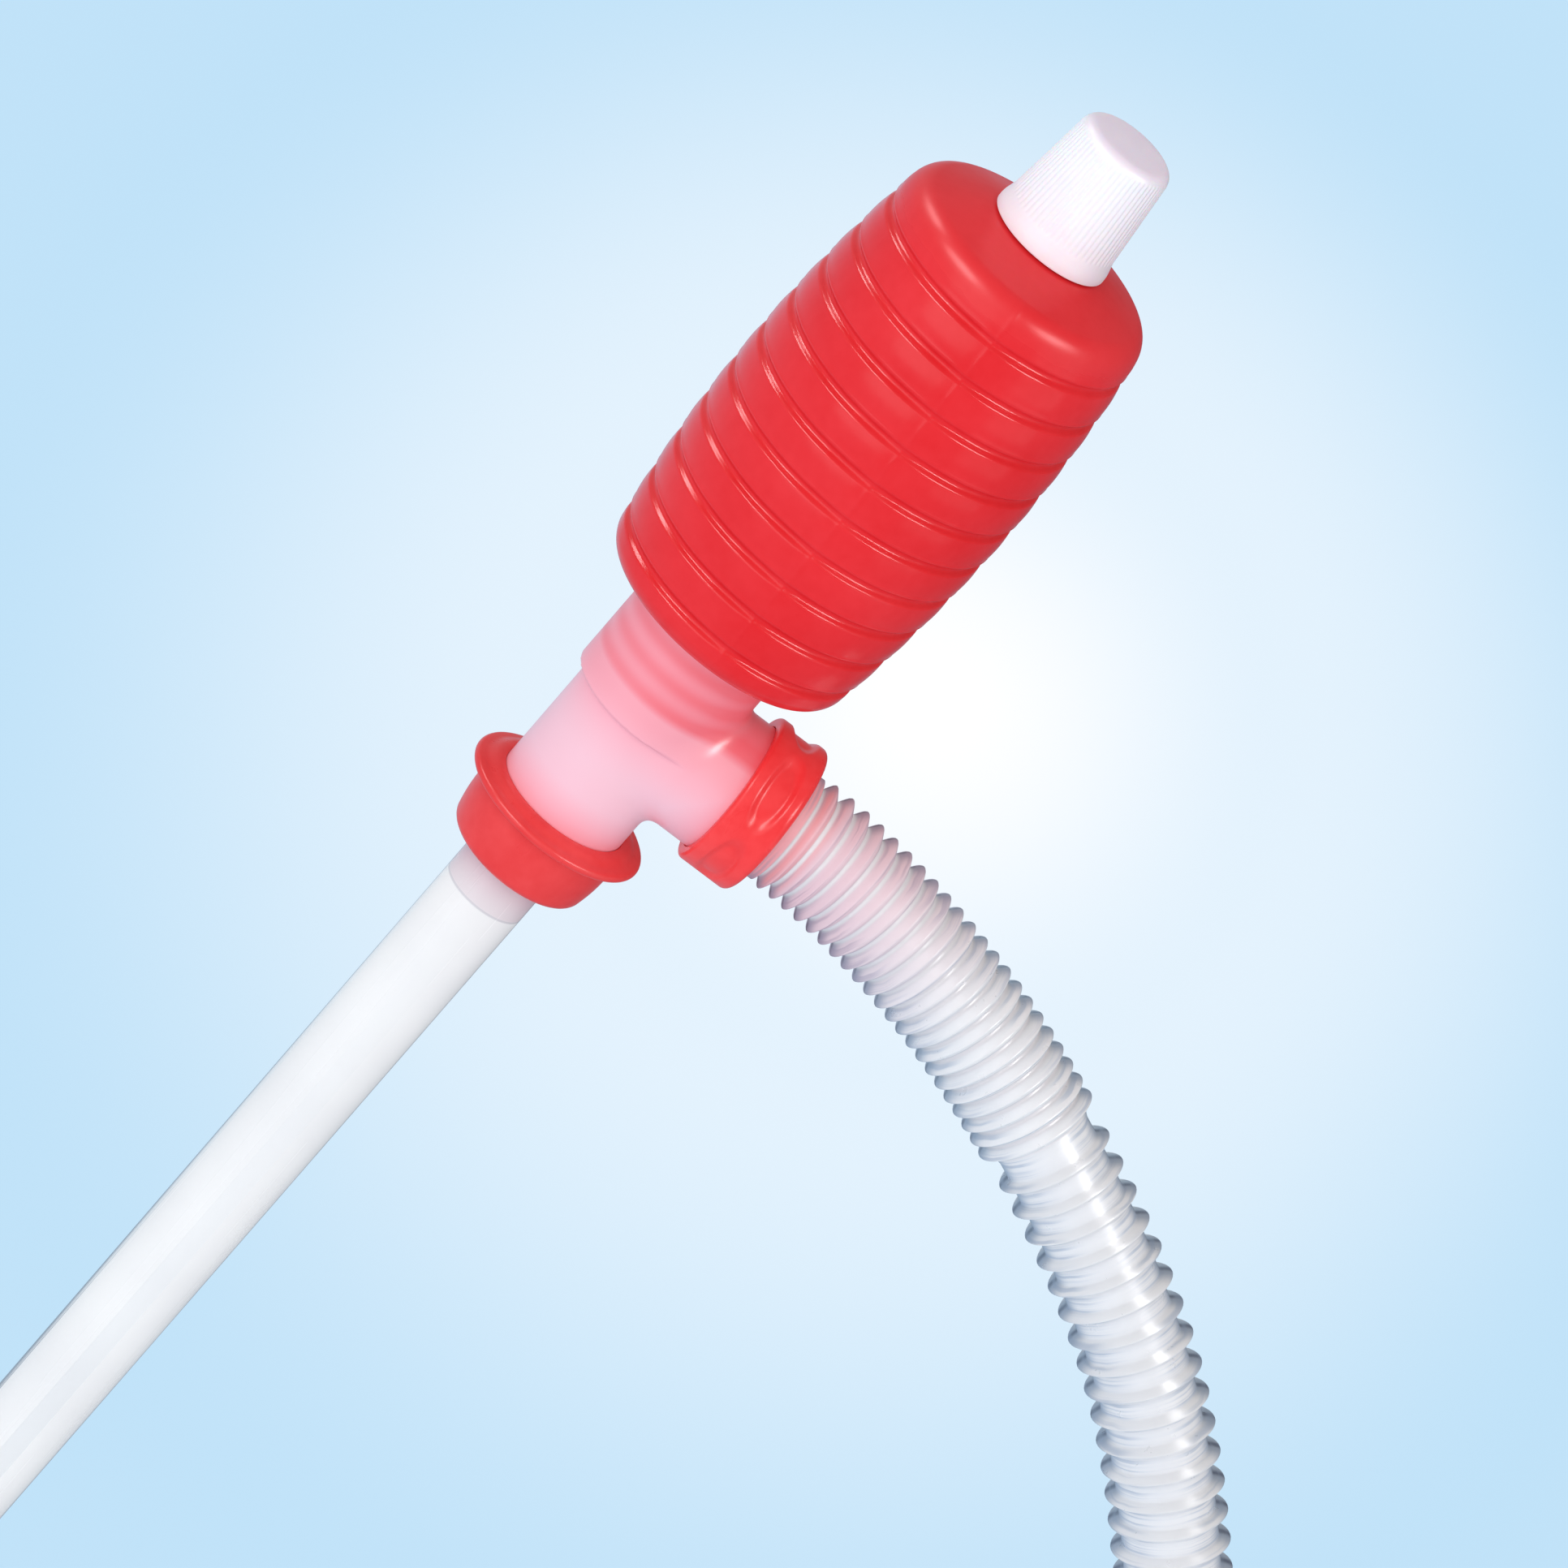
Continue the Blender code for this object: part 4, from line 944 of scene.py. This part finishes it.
def nut_outline():
    """The mouth over the branch, the side in close rows for its grips, the end and the bore."""
    hole = HOSE_NECK_RADIUS + NUT_CLOSE_FIT
    mouth = BRANCH_RADIUS + NUT_CLOSE_FIT
    lip = NUT_END - NUT_LIP
    corners = [
        (mouth, NUT_START), (NUT_RADIUS, NUT_START), (NUT_RADIUS, NUT_END),
        (hole, NUT_END), (hole, lip), (NUT_BORE, lip)]
    start = rounded(corners, [NUT_MOUTH_EDGE, NUT_START_EDGE, 0, 0, 0, 0])[:-4]
    rows = np.linspace(NUT_START + NUT_ROWS_START, NUT_END - NUT_EDGE - NUT_ROWS_END, NUT_ROWS)
    side = [(NUT_RADIUS, h) for h in rows]
    end_sizes = [0, 0, NUT_EDGE, NUT_HOLE_EDGE, NUT_INNER_EDGE, NUT_INNER_EDGE]
    end = rounded(corners, end_sizes, steps=8)[2:]
    mouth_z = NUT_START + NUT_MOUTH_DEPTH
    return start + side + end + [(NUT_BORE, mouth_z + NUT_MOUTH_STEP), (mouth, mouth_z)]


def nut_warp(r, h, t):
    """Five long finger grips pressed into the rim."""
    across = (h - (NUT_START + NUT_END) / 2) / (GRIP_WIDTH / 2)
    depth = np.zeros_like(r)
    for i in range(GRIP_COUNT):
        turn = GRIP_START + 2 * math.pi * i / GRIP_COUNT
        off = (t - turn + math.pi) % (2 * math.pi) - math.pi
        along = off * NUT_RADIUS / (GRIP_LENGTH / 2)
        oval = np.sqrt(np.abs(across) ** GRIP_POWER + np.abs(along) ** GRIP_POWER)
        depth += smoothstep(GRIP_OUTER, GRIP_FLOOR, oval) * GRIP_DEPTH
    return r - depth * smoothstep(NUT_RADIUS - GRIP_SKIN[0], NUT_RADIUS - GRIP_SKIN[1], r)


nut = revolve(
    "nut", nut_outline(), NUT_COLUMNS, nut_warp, along_x=True, centre=(0, 0, BRANCH_Z), sharp=75)
dress(nut, "nut", "fitting_red", NUT_RED_PAINTED_LIT, "hose_nut")


# Outlet hose

HOSE_COLUMNS = 52
HOSE_STEPS_PER_LEG = 24
HOSE_INNER_STEP = 3
HOSE_TANGENT_REACH = 2.0
FINE_RIB_FILL, FINE_RIB_TIP = 0.86, 0.09
FINE_RIB_PLACES = (0.0, 0.07, 0.16, 0.27, 0.38, 0.45, 0.5, 0.55, 0.62, 0.73, 0.84, 0.93)
FINE_RIB_SOFTNESS = 0.6
COARSE_RIB_FILL, COARSE_RIB_TIP = 0.40, 0.12
COARSE_RIB_PLACES = (
    0.0, 0.12, 0.22, 0.27, 0.31, 0.37, 0.43, 0.47,
    0.5, 0.53, 0.57, 0.63, 0.69, 0.73, 0.78, 0.88)
COARSE_RIB_SOFTNESS = 0.8
GROOVE_TOP, GROOVE_FLOOR = 0.7, 0.1
FLANGE_BACK, FLANGE_INSIDE = 0.1, 0.5
CUFF_RUN_IN, CUFF_STEP = 1.0, 0.2


def hose_line():
    """Close points on the smooth curve through the route, with the length at each."""
    route = np.array([(HOSE_FACE + along, BRANCH_Z + up) for along, up in HOSE_ROUTE])
    ends = np.vstack([2 * route[0] - route[1], route, 2 * route[-1] - route[-2]])
    t = np.linspace(0, 1, HOSE_STEPS_PER_LEG, endpoint=False)[:, None]
    line = []
    for a, b, c, d in zip(ends, ends[1:], ends[2:], ends[3:]):
        square = 2 * a - 5 * b + 4 * c - d
        cube = 3 * b - a - 3 * c + d
        line.append(0.5 * (2 * b + (c - a) * t + square * t * t + cube * t ** 3))
    line = np.vstack(line + [route[-1:]])
    steps = np.linalg.norm(np.diff(line, axis=0), axis=1)
    return line, np.concatenate([[0.0], np.cumsum(steps)])


def lobe(place, fill, tip):
    """Height of a pointed rib, 0 to 1, at a place along its pitch, of which it fills a share."""
    off = min(abs(2 * place - 1) / fill, 1.0)
    return (math.hypot(1, tip) - math.hypot(off, tip)) / (math.hypot(1, tip) - tip)


def rib_rows(start, count, pitch, places, valley, crest, fill, tip):
    """Length along the hose and outer radius at each row of a run of ribs."""
    return [
        (start + (i + u) * pitch, valley + (crest - valley) * lobe(u, fill, tip))
        for i in range(count) for u in places]


def hose_rows(length):
    """Length along the hose and outer radius at each row of the mesh."""
    rows = [
        (0.0, HOSE_FLANGE_RADIUS - HOSE_EDGE),
        (HOSE_EDGE, HOSE_FLANGE_RADIUS),
        (HOSE_FLANGE - HOSE_EDGE, HOSE_FLANGE_RADIUS),
        (HOSE_FLANGE, HOSE_FLANGE_RADIUS - HOSE_EDGE),
        (HOSE_FLANGE + FLANGE_BACK, HOSE_NECK_RADIUS),
        (FINE_RIB_START - NECK_STEP, HOSE_NECK_RADIUS)]
    rows += rib_rows(
        FINE_RIB_START, FINE_RIB_COUNT, FINE_RIB_PITCH, FINE_RIB_PLACES,
        HOSE_VALLEY_RADIUS, FINE_RIB_RADIUS, FINE_RIB_FILL, FINE_RIB_TIP)
    rows += [
        (FINE_RIB_END, HOSE_VALLEY_RADIUS),
        (FINE_RIB_END + PLAIN_GAP / 2, COARSE_VALLEY_RADIUS)]
    start = FINE_RIB_END + PLAIN_GAP
    cuff = length - CUFF_LENGTH
    rows += rib_rows(
        start, int((cuff - start) / COARSE_RIB_PITCH), COARSE_RIB_PITCH, COARSE_RIB_PLACES,
        COARSE_VALLEY_RADIUS, HOSE_RADIUS, COARSE_RIB_FILL, COARSE_RIB_TIP)
    rows += [
        (cuff - CUFF_RUN_IN, COARSE_VALLEY_RADIUS), (cuff + CUFF_STEP, CUFF_RADIUS),
        (length - HOSE_EDGE, CUFF_RADIUS), (length, CUFF_RADIUS - HOSE_EDGE)]
    return np.array(rows)


def add_attribute(mesh, name, values):
    mesh.attributes.new(name, "FLOAT", "POINT").data.foreach_set("value", values)


def soften(mesh, round_normals, share):
    """Lean normals towards the hose's round by a share, so that its clear ribs shade softly."""
    normals = read_vertices(mesh, "normal") * (1 - share) + round_normals * share
    normals /= np.linalg.norm(normals, axis=1)[:, None]
    mesh.normals_split_custom_set_from_vertices(normals)


def make_hose():
    """A ribbed tube along the route, with a thin wall."""
    line, lengths = hose_line()
    outer = hose_rows(lengths[-1])
    inner = np.vstack([outer[-1:], outer[-2:0:-HOSE_INNER_STEP], outer[:1]])
    inner[:, 1] -= HOSE_WALL
    inner[inner[:, 0] < HOSE_FLANGE + FLANGE_INSIDE, 1] = HOSE_NECK_RADIUS - HOSE_WALL
    rows = np.vstack([outer, inner])
    along, radius = rows[:, 0], rows[:, 1]

    def spot(distance):
        distance = np.clip(distance, 0, lengths[-1])
        return np.stack([np.interp(distance, lengths, line[:, i]) for i in (0, 1)])

    x, z = spot(along)[:, :, None]
    run, rise = spot(along + HOSE_TANGENT_REACH) - spot(along - HOSE_TANGENT_REACH)
    size = np.hypot(run, rise)
    up_x, up_z = (-rise / size)[:, None], (run / size)[:, None]
    turns = np.arange(HOSE_COLUMNS) * 2 * math.pi / HOSE_COLUMNS
    side, lift = np.cos(turns) + 0 * up_x, np.sin(turns) + 0 * up_x
    outward = np.stack([lift * up_x, side, lift * up_z], axis=-1)
    side, lift = side * radius[:, None], lift * radius[:, None]
    points = np.stack([x + lift * up_x, side, z + lift * up_z], axis=-1)
    faces = grid_faces(len(rows), HOSE_COLUMNS, closed=True)
    obj = make_object("hose", points.reshape(-1, 3), faces, sharp=60)
    fine = along < FINE_RIB_END
    # How deep each row of the fine ribs lies in a groove, for the material's painted highlight
    # there.
    depth = smoothstep(HOSE_VALLEY_RADIUS + GROOVE_TOP, HOSE_VALLEY_RADIUS + GROOVE_FLOOR, radius)
    add_attribute(obj.data, "groove", np.repeat(np.where(fine, depth, 0.0), HOSE_COLUMNS))
    add_attribute(obj.data, "along", np.repeat(along, HOSE_COLUMNS))
    share = np.where(fine, FINE_RIB_SOFTNESS, COARSE_RIB_SOFTNESS)
    share[len(outer):] = 0.0
    soften(obj.data, outward.reshape(-1, 3), np.repeat(share, HOSE_COLUMNS)[:, None])
    return obj


hose = make_hose()
dress(hose, "hose", "hose_clear", HOSE_CLEAR, "outlet_hose")


# Hidden pieces, shown as the solids they are

for name, material in (
    ("vent_cap_liner", SEAL_RUBBER), ("intake_valve_seat", INSERT_NATURAL),
    ("intake_valve_disc", SEAL_RUBBER), ("intake_valve_cage", INSERT_NATURAL),
    ("outlet_valve_seat", INSERT_NATURAL), ("outlet_valve_flap", SEAL_RUBBER),
):
    NODES[name].data.materials.clear()
    NODES[name].data.materials.append(material)


# Camera: angles in degrees, lengths in millimetres

AZIMUTH, ELEVATION, ROLL = (math.radians(a) for a in (-10.48, 22.82, 41.20))
CAMERA_DISTANCE = 2500.0
FRAME_WIDTH = 302.6
LOOKED_AT = Vector((20.0, 0.0, 60.0))
LOOKED_AT_OFF = (7.616, 24.58)
SENSOR_WIDTH = 36.0
CLIP_END = 100.0


def toward(azimuth, elevation):
    """The direction from the object to a place round it, the angles in radians."""
    flat = math.cos(elevation)
    return Vector((math.sin(azimuth) * flat, -math.cos(azimuth) * flat, math.sin(elevation)))


back = toward(AZIMUTH, ELEVATION)
level = Vector((math.cos(AZIMUTH), math.sin(AZIMUTH), 0.0))
steep = back.cross(level)
right = level * math.cos(ROLL) + steep * math.sin(ROLL)
up = steep * math.cos(ROLL) - level * math.sin(ROLL)
middle = LOOKED_AT - right * LOOKED_AT_OFF[0] - up * LOOKED_AT_OFF[1]
place = (middle + back * CAMERA_DISTANCE) * MM
lens = bpy.data.cameras.new("camera")
lens.sensor_width = SENSOR_WIDTH
lens.lens = SENSOR_WIDTH * CAMERA_DISTANCE / FRAME_WIDTH
lens.clip_end = CLIP_END
camera = add_object("camera", lens)
camera.matrix_world = Matrix(
    [(right[i], up[i], back[i], place[i]) for i in range(3)] + [(0, 0, 0, 1)])
bpy.context.scene.camera = camera


# Floor, background and light: lengths in metres

PALE_MIDDLE = srgb(254, 254, 255)
PALE_BETWEEN = srgb(226, 240, 251)
PALE_EDGE = srgb(191, 224, 246)
PALE_STOPS = [(0.0, PALE_MIDDLE), (0.105, PALE_BETWEEN), (0.262, PALE_EDGE)]
PALE_SPOT = (29.0, 16.0)
FLOOR_HALF = 30.0
FLOOR_LIGHT = srgb(250, 245, 247)
FLOOR_GLOW = 1.04
FLOOR_GLOW_SHARE = (0.45, 0.93)
GLOSS_LOSS = (0.0, 0.85)
GLOSS_LOSS_REACH = 0.4
SKY_LIGHT = 0.75
SKY_HEIGHTS = (0.05, 0.7)
SKY_SHOWN = (0.9, 0.3)


def seen_directly(nodes):
    """1 for rays from the camera, off gloss or through clear plastic, then 1 for gloss alone."""
    path = nodes.add("ShaderNodeLightPath").outputs
    direct = nodes.math("MAXIMUM", path["Is Camera Ray"], path["Is Glossy Ray"])
    direct = nodes.math("MAXIMUM", direct, path["Is Transmission Ray"])
    return direct, path["Is Glossy Ray"]


def dimmed_in_gloss(nodes, glossy, strength, across):
    """A strength that gloss sees less of, most on the right, so that edges keep their colour."""
    loss = nodes.change(across, -GLOSS_LOSS_REACH, GLOSS_LOSS_REACH, *GLOSS_LOSS)
    return nodes.math("MULTIPLY_ADD", nodes.math("MULTIPLY", glossy, loss), -strength, strength)


def floor_material():
    """White in the middle of the view, pale blue further off."""
    material = bpy.data.materials.new("floor_pale")
    material.use_nodes = True
    nodes = Nodes(material.node_tree)
    nodes.tree.nodes.clear()
    aim = (middle + right * PALE_SPOT[0] + up * PALE_SPOT[1]) * MM
    ray = aim - camera.location
    spot = camera.location + ray * ((FLOOR_Z - camera.location.z) / ray.z)
    inputs = {
        "Vector": nodes.add("ShaderNodeTexCoord").outputs["Object"],
        "Location": (spot.x, spot.y, FLOOR_Z),
        "Rotation": (0.0, 0.0, AZIMUTH),
        "Scale": (1.0, 1.0 / math.sin(ELEVATION), 1.0),
    }
    spread = nodes.add("ShaderNodeMapping", inputs, vector_type="TEXTURE").outputs["Vector"]
    off = nodes.add("ShaderNodeVectorMath", {0: spread}, operation="LENGTH").outputs["Value"]
    pale = nodes.ramp(off, PALE_STOPS, "EASE")
    direct, glossy = seen_directly(nodes)
    strength = dimmed_in_gloss(nodes, glossy, FLOOR_GLOW, nodes.split(spread, "X"))
    tint = nodes.mix(direct, FLOOR_LIGHT, pale)
    glow = nodes.add("ShaderNodeEmission", {"Color": tint, "Strength": strength})
    diffuse = nodes.add("ShaderNodeBsdfDiffuse", {"Color": pale})
    share = nodes.change(direct, 0.0, 1.0, *FLOOR_GLOW_SHARE)
    both = nodes.add(
        "ShaderNodeMixShader", {"Fac": share, 1: diffuse.outputs[0], 2: glow.outputs[0]})
    nodes.add("ShaderNodeOutputMaterial", {"Surface": both.outputs[0]})
    return material


def make_floor():
    mesh = bpy.data.meshes.new("floor")
    corners = ((-1, -1), (1, -1), (1, 1), (-1, 1))
    mesh.from_pydata(
        [(x * FLOOR_HALF, y * FLOOR_HALF, FLOOR_Z) for x, y in corners], [], [(0, 1, 2, 3)])
    mesh.materials.append(floor_material())
    floor = add_object("floor", mesh)


def make_world():
    """Even light on the pieces, and a pale background that dims upwards where it is seen."""
    world = bpy.data.worlds.new("studio")
    bpy.context.scene.world = world
    world.use_nodes = True
    nodes = Nodes(world.node_tree)
    nodes.tree.nodes.clear()
    soft = nodes.add(
        "ShaderNodeBackground", {"Color": (1.0, 1.0, 1.0, 1.0), "Strength": SKY_LIGHT})
    direction = nodes.add("ShaderNodeTexCoord").outputs["Generated"]
    direct, glossy = seen_directly(nodes)
    strength = nodes.math(
        "MULTIPLY", nodes.change(nodes.split(direction, "Z"), *SKY_HEIGHTS, *SKY_SHOWN),
        dimmed_in_gloss(nodes, glossy, 1.0, nodes.split(direction, "X")))
    shown = nodes.add("ShaderNodeBackground", {"Color": PALE_BETWEEN, "Strength": strength})
    both = nodes.add(
        "ShaderNodeMixShader", {"Fac": direct, 1: soft.outputs[0], 2: shown.outputs[0]})
    nodes.add("ShaderNodeOutputWorld", {"Surface": both.outputs[0]})


make_floor()
make_world()

LAMP_DISTANCE = 1.6


def lamp(name, azimuth, elevation, width, height, level, gloss_only=False):
    """A soft light on the object's middle. level is what it adds to a white surface facing it."""
    direction = toward(math.radians(azimuth), math.radians(elevation))
    light = bpy.data.lights.new(name, "AREA")
    light.shape = "RECTANGLE"
    light.size = width
    light.size_y = height
    light.energy = level * math.pi * math.pi * LAMP_DISTANCE * LAMP_DISTANCE
    obj = add_object(name, light)
    obj.location = middle * MM + direction * LAMP_DISTANCE
    obj.rotation_euler = (-direction).to_track_quat("-Z", "Y").to_euler()
    obj.visible_camera = False
    obj.visible_diffuse = not gloss_only


lamp("front", azimuth=-24, elevation=16, width=1.4, height=1.4, level=0.43)
lamp("right", azimuth=62, elevation=4, width=1.2, height=1.2, level=0.13)
lamp("left_strip", azimuth=-52, elevation=36, width=0.8, height=0.40, level=0.85, gloss_only=True)
lamp("rim_strip", azimuth=-116, elevation=38, width=0.5, height=0.40, level=0.40, gloss_only=True)
lamp("right_strip", azimuth=50, elevation=36, width=0.7, height=0.40, level=0.90, gloss_only=True)

bpy.context.scene.view_settings.view_transform = "Standard"
